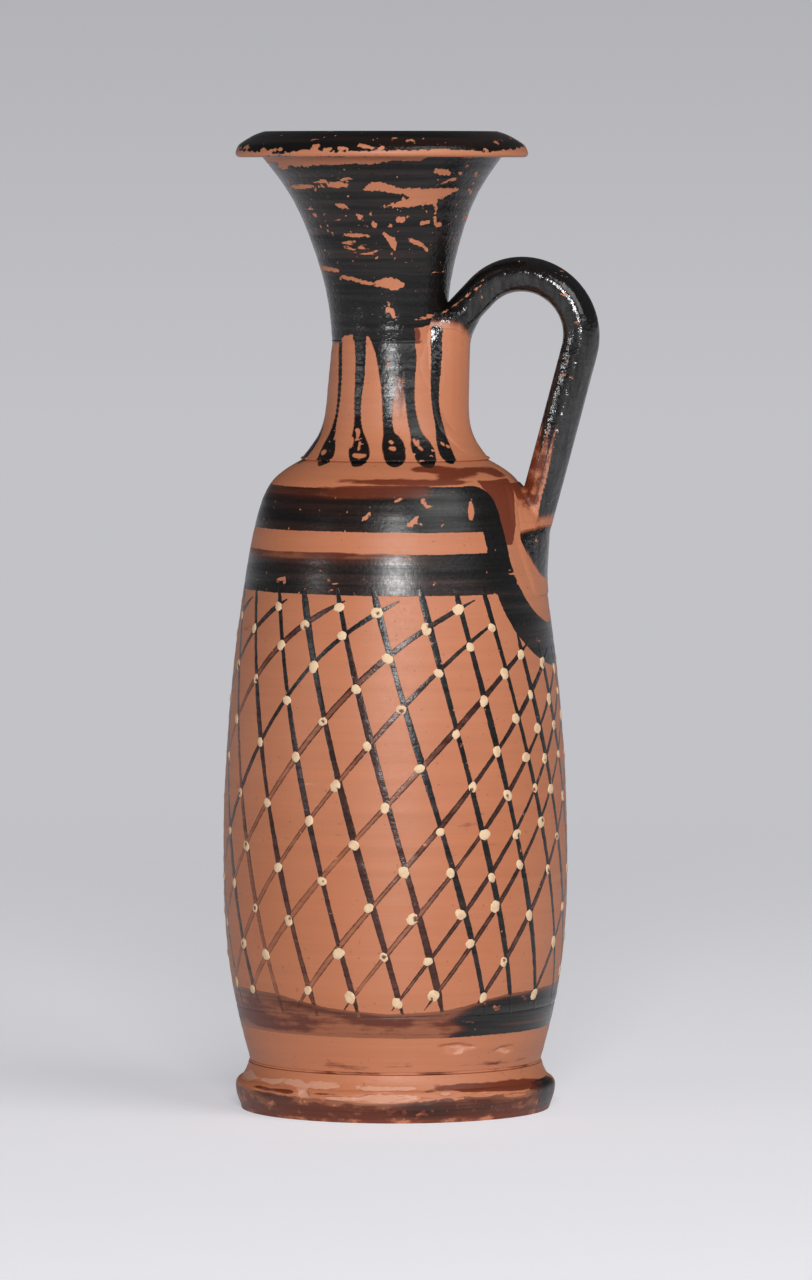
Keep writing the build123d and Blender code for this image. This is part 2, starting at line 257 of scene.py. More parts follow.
# Lost flakes at the foot of the tongues, in the same terms as the mouth's
TONGUE_FLAKES = [
    [(-134.8, 134.9, 0.35), (-132.4, 134.7, 0.5)],
    [(-129.9, 138.8, 0.25), (-129, 137.6, 0.32)],
    [(-113.2, 137.8, 0.3), (-111.6, 137.0, 0.5), (-110.8, 136.1, 0.3)],
    [(-109.6, 139.4, 0.3), (-107.8, 138.8, 0.42), (-107.5, 138.0, 0.28)],
    [(-104.6, 136.9, 0.2), (-104, 135.6, 0.26)],
    [(-106, 134.4, 0.3), (-102, 134.2, 0.42), (-98.6, 134.3, 0.28)],
    [(-81.9, 137.1, 0.28), (-80.9, 136.9, 0.3)],
    [(-82, 135.8, 0.3), (-79.6, 135.7, 0.4)],
    [(-64.6, 137.4, 0.22), (-63.1, 136.6, 0.42), (-61.8, 137.2, 0.2)],
    [(-62, 135.9, 0.3), (-60.6, 135.6, 0.28)],
    [(-43.5, 136.7, 0.25), (-42.6, 136.5, 0.28)],
    [(-39.7, 136.1, 0.28), (-38.8, 136.0, 0.25)],
    [(61, 136.4, 0.3), (63.5, 136.0, 0.45)],
    [(133, 136.9, 0.4), (135.5, 136.2, 0.3)],
    [(157, 135.6, 0.3), (159.5, 135.4, 0.4)],
]

# Shallow spalls low on the body: (degrees, level, half length, half height, depth in mm)
BODY_SPALLS = [(-56, 14.9, 4.2, 1.35, 1.1), (-33, 13.9, 3.2, 1.0, 1.0), (140, 14.6, 3.0, 1.1, 0.7)]
# Chips on the foot's edge: (degrees, level, half length, half height, depth in mm)
FOOT_CHIPS = [
    (-133, 5.0, 4.0, 0.8, 0.3), (-114, 5.2, 1.6, 1.2, 0.5), (-102, 4.9, 2.6, 0.7, 0.3),
    (-84, 5.3, 6.0, 1.1, 0.45), (-68, 4.6, 2.2, 0.8, 0.35), (-60, 6.0, 2.2, 0.8, 0.4),
    (-47, 5.3, 3.4, 0.7, 0.4), (-31, 4.6, 3.2, 0.7, 0.35), (-20, 4.2, 1.2, 0.6, 0.3),
    (22, 5.0, 3.0, 0.9, 0.4), (60, 4.6, 4.0, 1.0, 0.4), (105, 5.2, 3.0, 0.8, 0.3),
    (150, 4.4, 2.5, 0.9, 0.35),
]
# Smoke-black clouds on the foot: (share, degrees, level, half length, half height)
FOOT_SMOKE = [
    (0.7, -68, 3.0, 9.0, 3.0), (0.55, -42, 3.2, 8.0, 3.0), (1.3, -6, 4.6, 7.0, 4.5),
    (0.55, -130, 4.2, 7.0, 1.6), (0.25, -106, 2.6, 12.0, 3.0), (0.7, 60, 3.0, 12.0, 3.0),
    (0.85, 140, 3.0, 10.0, 3.0), (0.55, 185, 3.0, 9.0, 3.0),
]
# Upper edge of the smoked film on the foot's side: (degrees, level)
FOOT_FILM_TOP = [
    (-180, 4.9), (-150, 5.2), (-116, 4.9), (-96, 4.6), (-70, 4.3), (-52, 5.3), (-30, 5.1), (-23, 5.4),
    (-18, 6.6), (2, 6.9), (10, 5.4), (60, 5.0), (120, 5.4), (180, 4.9),
]
# Rubbed pale places on the foot: (share, degrees, level, half length, half height)
FOOT_RUBS = [
    (0.72, -118, 7.3, 20.0, 0.9), (0.6, -78, 7.2, 7.0, 0.8), (1.2, -82, 5.2, 8.0, 1.0),
    (0.9, -114, 5.4, 2.2, 0.9), (0.8, -100, 5.0, 6.0, 0.5), (0.8, -60, 6.1, 2.6, 0.6),
    (0.8, -47, 5.4, 4.5, 0.6), (0.75, -31, 4.7, 5.0, 0.6), (0.8, 30, 5.4, 10.0, 0.8),
    (0.6, 90, 6.6, 12.0, 0.9), (0.9, 150, 5.2, 9.0, 0.8), (0.6, 200, 6.9, 12.0, 0.9),
]
# Dark red places in the notch over the foot's edge, in the same terms as the rubbed ones
FOOT_REDS = [
    (1.7, -50, 6.7, 14.0, 1.0), (1.3, -22, 6.3, 7.0, 0.8), (1.2, -118, 5.7, 20.0, 0.42),
    (0.8, -82, 6.5, 9.0, 0.3), (1.0, 60, 6.8, 11.0, 0.8), (0.9, 170, 6.6, 12.0, 0.7),
]
# Fine line cut round the body over the foot
INCISED_LEVEL = 21.7
INCISED_DEPTH = 0.14
INCISED_WIDTH = 0.28
# How far the body lies back, so that the dots on it stay within the flask's width, in mm
WALL_MARGIN = 0.12
# Rows of points are closer between these levels, to carry the spalls
SPALLED_LEVELS = (12.3, 16.9)

# Black bands of the body: lower and upper edge, how far they stray, and where they end by the handle
UPPER_BAND = (119.2, 128.1)
LOWER_BAND = (106.6, 114.9)
BAND_WANDER = 0.35
BAND_END = math.radians(38)
# Frame round the handle's root, between two U shapes: (half width, level of the bend, drop below it)
FRAME_INNER = (14.9, 114.5, 14.5)
FRAME_OUTER = (20.8, 110.0, 18.8)
FRAME_TOP = 128.3
FRAME_CORNER = 3.4
# Black drop under the handle
DROP_HALF_WIDTH = 10.8
DROP_POINT = 109.0
DROP_HEIGHT = 9.5
DROP_TOP = 119.9
DROP_CORNER = 2.5
# Wash near the foot: its lower edge, a level that it stays under, and between which degrees it is black
WASH_BASE = 17.3
WASH_LIMIT = 40.0
WASH_BLACK = (-61, -51, 46, 75)
# Smears of red slip on the shoulder: (share, degrees, level, half length, half height)
SHOULDER_REDS = [
    (0.9, -60, 131.7, 4.5, 0.8), (0.8, -47, 130.3, 6.0, 0.8), (0.8, -56, 129.0, 7.0, 0.5),
    (0.6, -31, 131.3, 5.0, 0.6), (0.6, -16, 130.6, 3.0, 0.8), (0.5, -85, 129.4, 9.0, 0.5),
    (0.7, 40, 130.4, 8.0, 0.9), (0.6, 120, 129.8, 10.0, 0.7),
]
# Upper edge of the brown wash near the foot: (degrees, level)
WASH_TOP = [
    (-180, 25.0), (-150, 25.8), (-125, 25.5), (-102, 23.2), (-82, 22.3), (-62, 22.9), (-54, 23.6),
    (-45, 24.8), (-36, 25.6), (-6, 26.2), (20, 26.5), (45, 25.5), (70, 24.0), (110, 23.4), (150, 24.2),
    (180, 25.0),
]
# Inner edge of the red wash beside the handle's lower end: (level, mm from the middle)
FRAME_WASH = [(116.4, 12.9), (120, 10.5), (122.8, 9.6), (126, 7.6), (129, 4.5)]

# Camera of the view from the front: metres, degrees and the sensor's long side in millimetres
CAMERA_AZIMUTH = 11.0
CAMERA_DISTANCE = 1.7
CAMERA_HEIGHT = 0.192
CAMERA_LENS = 233.7
CAMERA_SENSOR = 36.0
AIM_RIGHT = 0.0022
AIM_HEIGHT = 0.09595

# Soft lamps as (name, azimuth, elevation, distance, width, height, power), and the point they look at
LAMPS = [
    ("key_lamp", 57, 38, 1.3, 0.9, 0.9, 6.0),
    ("front_lamp", 12, 15, 1.9, 0.5, 0.5, 23.5),
    ("side_lamp", -52, 7, 1.6, 0.17, 0.2, 1.7),
]
LAMP_AIM = (0, 0, 0.1)

# Floor, in metres, and how much it glows of itself where it is seen
FLOOR_RADIUS = 2.0
FLOOR_FADE = (0.25, 0.85)
FLOOR_GLOW = 0.69


def linear(code):
    """A colour given as an sRGB hex code, as linear red, green and blue."""
    parts = [int(code[i:i + 2], 16) / 255 for i in (1, 3, 5)]
    return tuple(p / 12.92 if p <= 0.04045 else ((p + 0.055) / 1.055) ** 2.4 for p in parts)


def measure(name, description, millimetres):
    """A length that the panel shows."""
    return FloatProperty(name=name, description=description, default=millimetres * MM, unit="LENGTH")


def swatch(name, description, code):
    """A colour that the panel shows, given as an sRGB hex code."""
    return FloatVectorProperty(name=name, description=description, subtype="COLOR", default=linear(code))


class LekythosSizes(bpy.types.PropertyGroup):
    """Sizes of the hand work on the flask."""

    line_width: measure("Net line width", "Width of a stroke of the net", 1.2)
    dot_width: measure("Dot width", "Width of a white dot", 2.1)
    dot_height: measure("Dot height", "How far a dot stands proud", 0.2)
    slip_film: measure("Slip film", "Thickness of a painted stroke", 0.04)
    ridge_depth: measure("Throwing ridges", "Depth of the finger ridges", 0.06)
    out_of_round: measure("Out of round", "How far the thrown wall strays", 0.15)
    strap_width: measure("Strap width", "Width of the handle's strap", 8.8)
    strap_thickness: measure("Strap thickness", "Thickness of the handle's strap", 7.1)
    hand_seed: IntProperty(name="Hand", description="Seed of the painter's small slips", default=7)


class LekythosColours(bpy.types.PropertyGroup):
    """Colours of the clay, the slips and the stage."""

    clay: swatch("Clay", "Fired clay, burnished", "#BF744E")
    clay_pale: swatch("Rubbed clay", "Clay where it is rubbed or chipped", "#D2967A")
    clay_red: swatch("Red clay", "Clay with a red wash", "#702F16")
    gloss: swatch("Black gloss", "Slip fired black", "#151312")
    gloss_brown: swatch("Brown gloss", "Slip where it lies thin", "#552718")
    dots: swatch("White slip", "Dots of white slip", "#EBCDA6")
    floor: swatch("Floor", "Pale paper floor", "#DCDCDF")
    backdrop: swatch("Backdrop", "Grey behind the flask", "#C2C2C7")


def smooth_outline(points, count):
    """Evenly spaced points on a smooth curve through an outline's points."""
    knots = np.array(points, float)
    chords = np.linalg.norm(np.diff(knots, axis=0), axis=1)
    along = np.concatenate([[0.0], np.cumsum(chords)])
    last = len(knots) - 1
    system = np.eye(last + 1)
    target = np.zeros_like(knots)
    for i in range(1, last):
        system[i, i - 1:i + 2] = chords[i - 1], 2 * (chords[i - 1] + chords[i]), chords[i]
        target[i] = 6 * ((knots[i + 1] - knots[i]) / chords[i] - (knots[i] - knots[i - 1]) / chords[i - 1])
    bend = np.linalg.solve(system, target)
    place = np.linspace(0, along[-1], count)
    span = np.clip(np.searchsorted(along, place, side="right") - 1, 0, last - 1)
    width = chords[span][:, None]
    ahead = (place - along[span])[:, None] / width
    back = 1 - ahead
    curve = (back ** 3 - back) * bend[span] + (ahead ** 3 - ahead) * bend[span + 1]
    return back * knots[span] + ahead * knots[span + 1] + curve * width ** 2 / 6


def straight(start, end, count):
    """Evenly spaced points on a straight line, both ends included."""
    return np.linspace(start, end, count)


def wall_radius(outline, level):
    """Radius of an outline of (radius, level) points at a level."""
    return np.interp(level, outline[:, 1], outline[:, 0])


def slip_bead(radii, low, high, count):
    """Rounded edge of a slip layer from one level to another, by its radii at the borders and middle."""
    border, middle = radii
    return smooth_outline([(border, low), (middle, (low + high) / 2), (border, high)], count)


def joined(runs):
    """One section and its sideways slides from runs of (points, slide)."""
    section = np.vstack([run for run, slide in runs])
    slides = np.concatenate([np.broadcast_to(slide, len(run)) for run, slide in runs])
    return section, slides


def lean_slide(level):
    """Sideways drift of the neck, mouth and handle at a level."""
    return -LEAN * np.maximum(level - NECK_BASE, 0)


def smooth_step(low, high, value):
    """0 below low, 1 above high, and an even ramp between."""
    t = np.clip((value - low) / (high - low), 0, 1)
    return t * t * (3 - 2 * t)


def plateau(start, full, fade, end, value):
    """0 outside start and end, 1 from full to fade, and even ramps between."""
    return smooth_step(start, full, value) * (1 - smooth_step(fade, end, value))


def turn_between(angle, other):
    """The smaller signed turn between two angles in radians."""
    return (angle - other + math.pi) % (2 * math.pi) - math.pi


def hand_drift(angle, seed, waves=5):
    """A slow wander between -1 and 1 round the pot, as a steady hand leaves."""
    rng = np.random.default_rng(seed)
    drift = np.zeros_like(angle)
    for k in range(1, waves + 1):
        drift = drift + rng.normal() * np.sin(k * angle + rng.uniform(0, 2 * math.pi)) / k
    return drift / 2


def throwing_ridges(angle, level, sizes):
    """Finger ridges and a little out-of-round that throwing leaves, in mm, never outwards."""
    climb = angle / (2 * math.pi)
    ridges = 0.5 * np.sin(2 * math.pi * (level / 3.7 - climb))
    ridges = ridges + 0.3 * np.sin(2 * math.pi * level / 2.3 + 0.9 * np.sin(angle))
    ridges = ridges + 0.2 * np.sin(2 * math.pi * level / 6.1 + 1.3 * np.sin(2 * angle))
    wander = 0.6 * np.cos(2 * angle + 1 + level / 60) + 0.4 * np.cos(3 * angle - 0.5 - level / 45)
    return sizes.ridge_depth / MM * (ridges - 1) / 2 + sizes.out_of_round / MM * (wander - 1) / 2


def dents(angle, level, radius, places):
    """Depth in mm of spalls or chips given as (degrees, level, half length, half height, depth)."""
    depth = np.zeros_like(level)
    for degrees, at, half_length, half_height, deep in places:
        along = turn_between(angle, math.radians(degrees)) * radius / half_length
        across = (level - at) / half_height
        turn = np.arctan2(across, along)
        rim = 1 + 0.13 * np.sin(3 * turn + degrees) + 0.1 * np.sin(5 * turn + 2 * degrees)
        reach = (np.abs(along) ** 1.4 + np.abs(across) ** 1.4) ** (1 / 1.4)
        inside = 1 - smooth_step(0.7, 1.0, reach / rim)
        depth = np.maximum(depth, deep * inside * (0.55 + 0.45 * np.clip(across, -1, 1)))
    return depth


def clouds(angle, level, radius, places):
    """Sum of soft clouds on a wall, each (share, degrees, level, half length, half height)."""
    total = np.zeros_like(level)
    for share, degrees, at, half_length, half_height in places:
        along = turn_between(angle, math.radians(degrees)) * radius / half_length
        total = total + share * np.exp(-along ** 2 - ((level - at) / half_height) ** 2)
    return total


def brush(angle, level, radius, path, samples=32):
    """Millimetres inside a brush stroke along a path of (degrees, level, half width)."""
    way = smooth_outline(np.array(path, float), samples)
    inside = np.full(level.shape, FAR_OUTSIDE)
    for degrees, at, half_width in way:
        across = turn_between(angle, math.radians(degrees)) * radius
        inside = np.maximum(inside, half_width - np.hypot(across, level - at))
    return inside


def tongue_paint(angle, level, radius):
    """Millimetres inside the black tongues that hang from the mouth down the neck."""
    rng = np.random.default_rng(TONGUE_SEED)
    paths = list(TONGUES)
    for degrees in BACK_TONGUES:
        sway = rng.normal(0, 1.2, 4)
        sway = [*sway, sway[3] + 1.5]
        wide = rng.uniform(0.85, 1.15)
        paths.append([(degrees + s, at, half * wide) for s, (at, half) in zip(sway, BACK_TONGUE_PATH)])
    inside = np.full(level.shape, FAR_OUTSIDE)
    for path in paths:
        inside = np.maximum(inside, brush(angle, level, radius, path))
    return less_flakes(inside, angle, level, radius, TONGUE_FLAKES)


def less_flakes(paint, angle, level, radius, flakes):
    """Paint with the given flakes taken out of it, each a path of (degrees, level, half width)."""
    for path in flakes:
        paint = np.minimum(paint, -brush(angle, level, radius, path, 14))
    return paint


BODY_CURVE = smooth_outline(BODY_OUTSIDE, 900)
NECK_CURVE = smooth_outline(NECK_OUTSIDE, 400)
MOUTH_CURVE = smooth_outline(MOUTH_OUTSIDE, 400)
THROAT_CURVE = np.vstack([NECK_CURVE, MOUTH_CURVE])


def body_wall(angle, level, sizes):
    """Radius of the finished outside of the body."""
    radius = wall_radius(BODY_CURVE, level)
    spalls = dents(angle, level, radius, BODY_SPALLS)
    off_line = (level - INCISED_LEVEL - 0.25 * np.sin(angle + 1)) / INCISED_WIDTH
    groove = INCISED_DEPTH * np.exp(-off_line ** 2)
    return radius - WALL_MARGIN + throwing_ridges(angle, level, sizes) - spalls - groove


def points_of(mesh):
    """The mesh's points in mm, one row each."""
    spots = np.zeros(len(mesh.vertices) * 3)
    mesh.vertices.foreach_get("co", spots)
    return spots.reshape(-1, 3) / MM


def finish_mesh(mesh, crease=50.0):
    """Turn all faces outwards and round the shading, except at real corners."""
    work = bmesh.new()
    work.from_mesh(mesh)
    bmesh.ops.recalc_face_normals(work, faces=work.faces)
    work.to_mesh(mesh)
    work.free()
    mesh.shade_smooth()
    mesh.set_sharp_from_angle(angle=math.radians(crease))


def give_fields(mesh, fields):
    """Store paint and wear on the mesh's points for the materials to read."""
    for name, values in fields.items():
        layer = mesh.attributes.new(name, "FLOAT", "POINT")
        layer.data.foreach_set("value", np.asarray(values, np.float32).ravel())


def cell_corners(rows, columns):
    """Row and column of the four corners of each cell of a grid."""
    i, j = np.meshgrid(np.arange(rows), np.arange(columns), indexing="ij")
    return [(i, j), (i, j + 1), (i + 1, j + 1), (i + 1, j)]


def unwrapped_mesh(name, points, faces, uv, fields):
    """A mesh from points in mm, with its unwrapping and its paint and wear."""
    mesh = bpy.data.meshes.new(name)
    mesh.from_pydata((points * MM).tolist(), [], faces)
    layer = mesh.uv_layers.new(name=UV_NAME)
    layer.data.foreach_set("uv", uv.astype(np.float32).ravel())
    give_fields(mesh, fields)
    return mesh


def grid_mesh(name, points, fields, ring=False):
    """A mesh from a grid of points in mm: rows along a section, columns round the pot.

    With ring the section closes on itself, otherwise its two ends are capped."""
    rows, columns = points.shape[:2]
    row_count = rows if ring else rows - 1
    corners = cell_corners(row_count, columns)
    quads = np.stack([(a % rows) * columns + b % columns for a, b in corners], -1).reshape(-1, 4)
    faces = quads.tolist()
    reach = np.linalg.norm(np.diff(points[:, 0], axis=0, append=points[:1, 0]), axis=1)
    along = np.concatenate([[0], np.cumsum(reach)])
    along = 0.03 + 0.94 * along / along[row_count]
    uv = np.stack([np.stack([b / columns, along[a]], -1) for a, b in corners], 2).reshape(-1, 2)
    if not ring:
        circle = np.arange(columns) * 2 * math.pi / columns
        disc = 0.01 * np.stack([np.cos(circle), np.sin(circle)], -1)
        faces.append(list(range(columns)))
        faces.append(list(range((rows - 1) * columns, rows * columns)))
        uv = np.vstack([uv, disc + (0.015, 0.015), disc + (0.015, 0.985)])
    mesh = unwrapped_mesh(name, points.reshape(-1, 3), faces, uv, fields)
    finish_mesh(mesh)
    return mesh


def settle(name, mesh, material, slot, *nodes):
    """Put a piece in the scene, on the flask's one body, in place of the solids it stands for."""
    mesh.materials.append(material)
    piece = bpy.data.objects.new(name, mesh)
    bpy.context.scene.collection.objects.link(piece)
    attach(piece, "root")
    if nodes:
        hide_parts(*nodes)
    return piece


def thrown(section, slides, columns, relief=None):
    """Turn a section into rings of points, whose centres slides moves along X.

    Returns the points, and the angle, level and plain radius of each."""
    angle = np.arange(columns) * 2 * math.pi / columns
    angle, radius = np.meshgrid(angle, section[:, 0])
    level = np.repeat(section[:, 1:2], columns, axis=1)
    reach = radius if relief is None else radius + relief(angle, level)
    x = reach * np.cos(angle) + np.broadcast_to(slides, len(section))[:, None]
    points = np.stack([x, reach * np.sin(angle), level], -1)
    return points, turn_between(angle, 0), level, radius


def add(tree, kind, inputs, output=0, **settings):
    """Add a node with its settings, set or link its inputs, and return one of its outputs."""
    node = tree.nodes.new("ShaderNode" + kind)
    for name, value in settings.items():
        setattr(node, name, value)
    for name, value in inputs.items():
        if isinstance(value, bpy.types.NodeSocket):
            tree.links.new(value, node.inputs[name])
        else:
            node.inputs[name].default_value = value
    return node.outputs[output] if node.outputs else None


def blank_tree(owner):
    """The node tree of a material or of the world, emptied."""
    owner.use_nodes = True
    owner.node_tree.nodes.clear()
    return owner.node_tree


def seen_directly(tree):
    """1 for rays from the camera, also by way of a reflection, and 0 for the light on the flask."""
    rays = add(tree, "LightPath", {}).node.outputs
    seen = add(tree, "Math", {0: rays["Is Camera Ray"], 1: rays["Is Glossy Ray"]}, operation="ADD")
    return add(tree, "Math", {0: seen, 1: rays["Is Transmission Ray"]}, operation="ADD")


def per(size):
    """Noise scale, per metre, for spots about so many millimetres wide."""
    return 0.5 / (size * MM)


def opaque(colour):
    """A linear colour with full alpha, for a node's colour socket."""
    return (*colour, 1.0)


def painted_clay(name, wander_width=0.4, ragged_width=0.25, flake_size=3.0, gloss_roughness=0.3,
                 flake_stretch=0.3, grain_depth=0.03, patch_size=2.2, line_depth=0.8, chip_depth=0.0,
                 grain_size=0.35, gloss_level=0.45, line_run=(0.03, 0.03, 1)):
    """Wheel-thrown iron-rich clay, burnished and painted with black gloss slip that has worn.

    Burnished clay has a soft sheen, fine wheel lines and dark specks. The slip sinters to a thin
    glassy black film that goes brown where it lies thin, has ragged edges and loses small flakes."""
    colours = bpy.context.scene.lekythos_colours
    material = bpy.data.materials.new(name)
    tree = blank_tree(material)
    place = add(tree, "TexCoord", {}, "Object")
    paint, thin, wear, tone = (
        add(tree, "Attribute", {}, "Fac", attribute_name=field)
        for field in ("paint", "thin", "wear", "tone"))
    stretched = add(tree, "Mapping", {"Vector": place, "Scale": (flake_stretch, flake_stretch, 1)})
    wheel = add(tree, "Mapping", {"Vector": place, "Scale": line_run})

    # Clay: cloudy tone 20 mm across, wheel lines 0.9 mm apart, specks of grit 0.5 mm wide
    cloud = add(tree, "TexNoise", {"Vector": place, "Scale": per(20), "Detail": 3.0})
    cloud = add(tree, "MapRange", {0: cloud, 1: 0.35, 2: 0.7, 3: 0.0, 4: 0.22})
    clay = add(tree, "Mix", {0: cloud, 6: opaque(colours.clay), 7: opaque(colours.clay_pale)}, 2,
               data_type="RGBA")
    lines = add(tree, "TexNoise", {"Vector": wheel, "Scale": per(0.9), "Detail": 4.0, "Roughness": 0.7})
    lines_tone = add(tree, "MapRange", {0: lines, 1: 0.3, 2: 0.7, 3: 0.94, 4: 1.05})
    clay = add(tree, "Mix", {0: 1.0, 6: clay, 7: lines_tone}, 2, data_type="RGBA", blend_type="MULTIPLY")
    grit = add(tree, "TexNoise", {"Vector": place, "Scale": per(0.5), "Detail": 1.0})
    grit_spots = add(tree, "MapRange", {0: grit, 1: 0.71, 2: 0.78, 3: 0.0, 4: 0.35})
    clay = add(tree, "Mix", {0: grit_spots, 6: clay, 7: opaque(colours.clay_red)}, 2, data_type="RGBA")

    # Rubbed pale or washed red, where tone leaves zero, in ragged patches
    patch = add(tree, "TexNoise", {"Vector": stretched, "Scale": per(patch_size), "Detail": 4.0,
                "Roughness": 0.6})
    patch = add(tree, "Math", {0: patch, 1: 0.5}, operation="SUBTRACT")
    tint = add(tree, "Math", {0: patch, 1: 1.6, 2: tone}, operation="MULTIPLY_ADD")
    streak = add(tree, "Math", {0: lines, 1: 0.5}, operation="SUBTRACT")
    tint = add(tree, "Math", {0: streak, 1: 0.55, 2: tint}, operation="MULTIPLY_ADD")
    pale = add(tree, "MapRange", {0: tint, 1: 0.38, 2: 0.48, 3: 0.0, 4: 1.0})
    clay = add(tree, "Mix", {0: pale, 6: clay, 7: opaque(colours.clay_pale)}, 2, data_type="RGBA")
    red = add(tree, "MapRange", {0: tint, 1: -0.3, 2: -0.5, 3: 0.0, 4: 1.0})
    clay = add(tree, "Mix", {0: red, 6: clay, 7: opaque(colours.clay_red)}, 2, data_type="RGBA")

    # Painted edge: wanders over 1.5 mm and is ragged over 0.4 mm
    wander = add(tree, "TexNoise", {"Vector": stretched, "Scale": per(1.5), "Detail": 3.0})
    ragged = add(tree, "TexNoise", {"Vector": place, "Scale": per(0.4), "Detail": 2.0})
    edge = add(tree, "Math", {0: wander, 1: wander_width, 2: paint}, operation="MULTIPLY_ADD")
    edge = add(tree, "Math", {0: ragged, 1: ragged_width, 2: edge}, operation="MULTIPLY_ADD")
    middle = (wander_width + ragged_width) / 2
    cover = add(tree, "MapRange", {0: edge, 1: middle - 0.07, 2: middle + 0.07, 3: 0.0, 4: 1.0},
                interpolation_type="SMOOTHSTEP")

    # Lost flakes, drawn out along the wheel lines, and pinholes 0.7 mm wide; wear makes more of them
    flakes = add(tree, "TexNoise", {"Vector": stretched, "Scale": per(flake_size), "Detail": 4.0,
                 "Roughness": 0.62})
    flakes = add(tree, "Math", {0: wear, 1: 0.2, 2: flakes}, operation="MULTIPLY_ADD")
    flakes = add(tree, "MapRange", {0: flakes, 1: 0.7, 2: 0.715, 3: 0.0, 4: 1.0})
    pinholes = add(tree, "TexNoise", {"Vector": place, "Scale": per(0.7), "Detail": 2.0})
    pinholes = add(tree, "Math", {0: wear, 1: 0.3, 2: pinholes}, operation="MULTIPLY_ADD")
    pinholes = add(tree, "MapRange", {0: pinholes, 1: 0.765, 2: 0.79, 3: 0.0, 4: 1.0})
    lost = add(tree, "Math", {0: flakes, 1: pinholes}, operation="MAXIMUM")
    kept = add(tree, "Math", {0: 1.0, 1: lost}, operation="SUBTRACT")
    coat = add(tree, "Math", {0: cover, 1: kept}, operation="MULTIPLY")

    # Thin slip lets the clay show through, in brush streaks
    thinned = add(tree, "Math", {0: streak, 1: 0.5, 2: thin}, operation="MULTIPLY_ADD")
    browned = add(tree, "MapRange", {0: thinned, 1: 0.15, 2: 0.6, 3: 0.0, 4: 1.0})
    film = add(tree, "Mix", {0: browned, 6: opaque(colours.gloss), 7: opaque(colours.gloss_brown)}, 2,
               data_type="RGBA")
    hide = add(tree, "MapRange", {0: thinned, 1: 0.45, 2: 1.15, 3: 1.0, 4: 0.0})
    hide = add(tree, "Math", {0: hide, 1: coat}, operation="MULTIPLY")
    colour = add(tree, "Mix", {0: hide, 6: clay, 7: film}, 2, data_type="RGBA")

    # Sheen: satin clay and glassy slip, both mottled by grains drawn coarser than real so that they show
    grain = add(tree, "TexNoise", {"Vector": place, "Scale": per(grain_size), "Detail": 3.0})
    matt = add(tree, "MapRange", {0: hide, 1: 0.0, 2: 1.0, 3: 0.5, 4: gloss_roughness})
    mottle = add(tree, "Math", {0: grain, 1: 0.5}, operation="SUBTRACT")
    matt = add(tree, "Math", {0: mottle, 1: 0.25, 2: matt}, operation="MULTIPLY_ADD")
    relief = add(tree, "MapRange", {0: hide, 1: 0.0, 2: 1.0, 3: 0.4, 4: 1.0})
    height = add(tree, "Math", {0: grain, 1: relief}, operation="MULTIPLY")
    height = add(tree, "Math", {0: coat, 1: 0.35, 2: height}, operation="MULTIPLY_ADD")
    height = add(tree, "Math", {0: lines, 1: line_depth, 2: height}, operation="MULTIPLY_ADD")
    height = add(tree, "Math", {0: pale, 1: -chip_depth, 2: height}, operation="MULTIPLY_ADD")
    normal = add(tree, "Bump", {"Height": height, "Strength": 1.0, "Distance": grain_depth * MM})
    streaky = add(tree, "MapRange", {0: lines, 1: 0.35, 2: 0.65, 3: 0.6 * gloss_level,
                  4: 1.4 * gloss_level})
    shine = add(tree, "MapRange", {0: hide, 1: 0.0, 2: 1.0, 3: 0.54, 4: streaky})
    surface = add(tree, "BsdfPrincipled", {"Base Color": colour, "Roughness": matt, "IOR": 1.5,
                  "Specular IOR Level": shine, "Normal": normal})
    add(tree, "OutputMaterial", {"Surface": surface})
    return material


def white_slip(name):
    """Dots of white slip, dabbed on after the black: chalky, slightly yellowed and matt."""
    colours = bpy.context.scene.lekythos_colours
    material = bpy.data.materials.new(name)
    tree = blank_tree(material)
    place = add(tree, "TexCoord", {}, "Object")
    bare = add(tree, "Attribute", {}, "Fac", attribute_name="bare")
    # Soiled in spots 0.8 mm wide; the chalk's grains are drawn 0.25 mm wide, coarser than real, to show
    soil = add(tree, "TexNoise", {"Vector": place, "Scale": per(0.8), "Detail": 3.0})
    soil = add(tree, "MapRange", {0: soil, 1: 0.45, 2: 0.75, 3: 0.0, 4: 0.6})
    colour = add(tree, "Mix", {0: soil, 6: opaque(colours.dots), 7: opaque(colours.clay_pale)}, 2,
                 data_type="RGBA")
    colour = add(tree, "Mix", {0: bare, 6: colour, 7: opaque(colours.gloss_brown)}, 2, data_type="RGBA")
    grain = add(tree, "TexNoise", {"Vector": place, "Scale": per(0.25), "Detail": 2.0})
    normal = add(tree, "Bump", {"Height": grain, "Strength": 1.0, "Distance": 0.03 * MM})
    rough = add(tree, "MapRange", {0: grain, 1: 0.3, 2: 0.7, 3: 0.7, 4: 0.85})
    surface = add(tree, "BsdfPrincipled", {"Base Color": colour, "Roughness": rough, "IOR": 1.5,
                  "Normal": normal})
    add(tree, "OutputMaterial", {"Surface": surface})
    return material


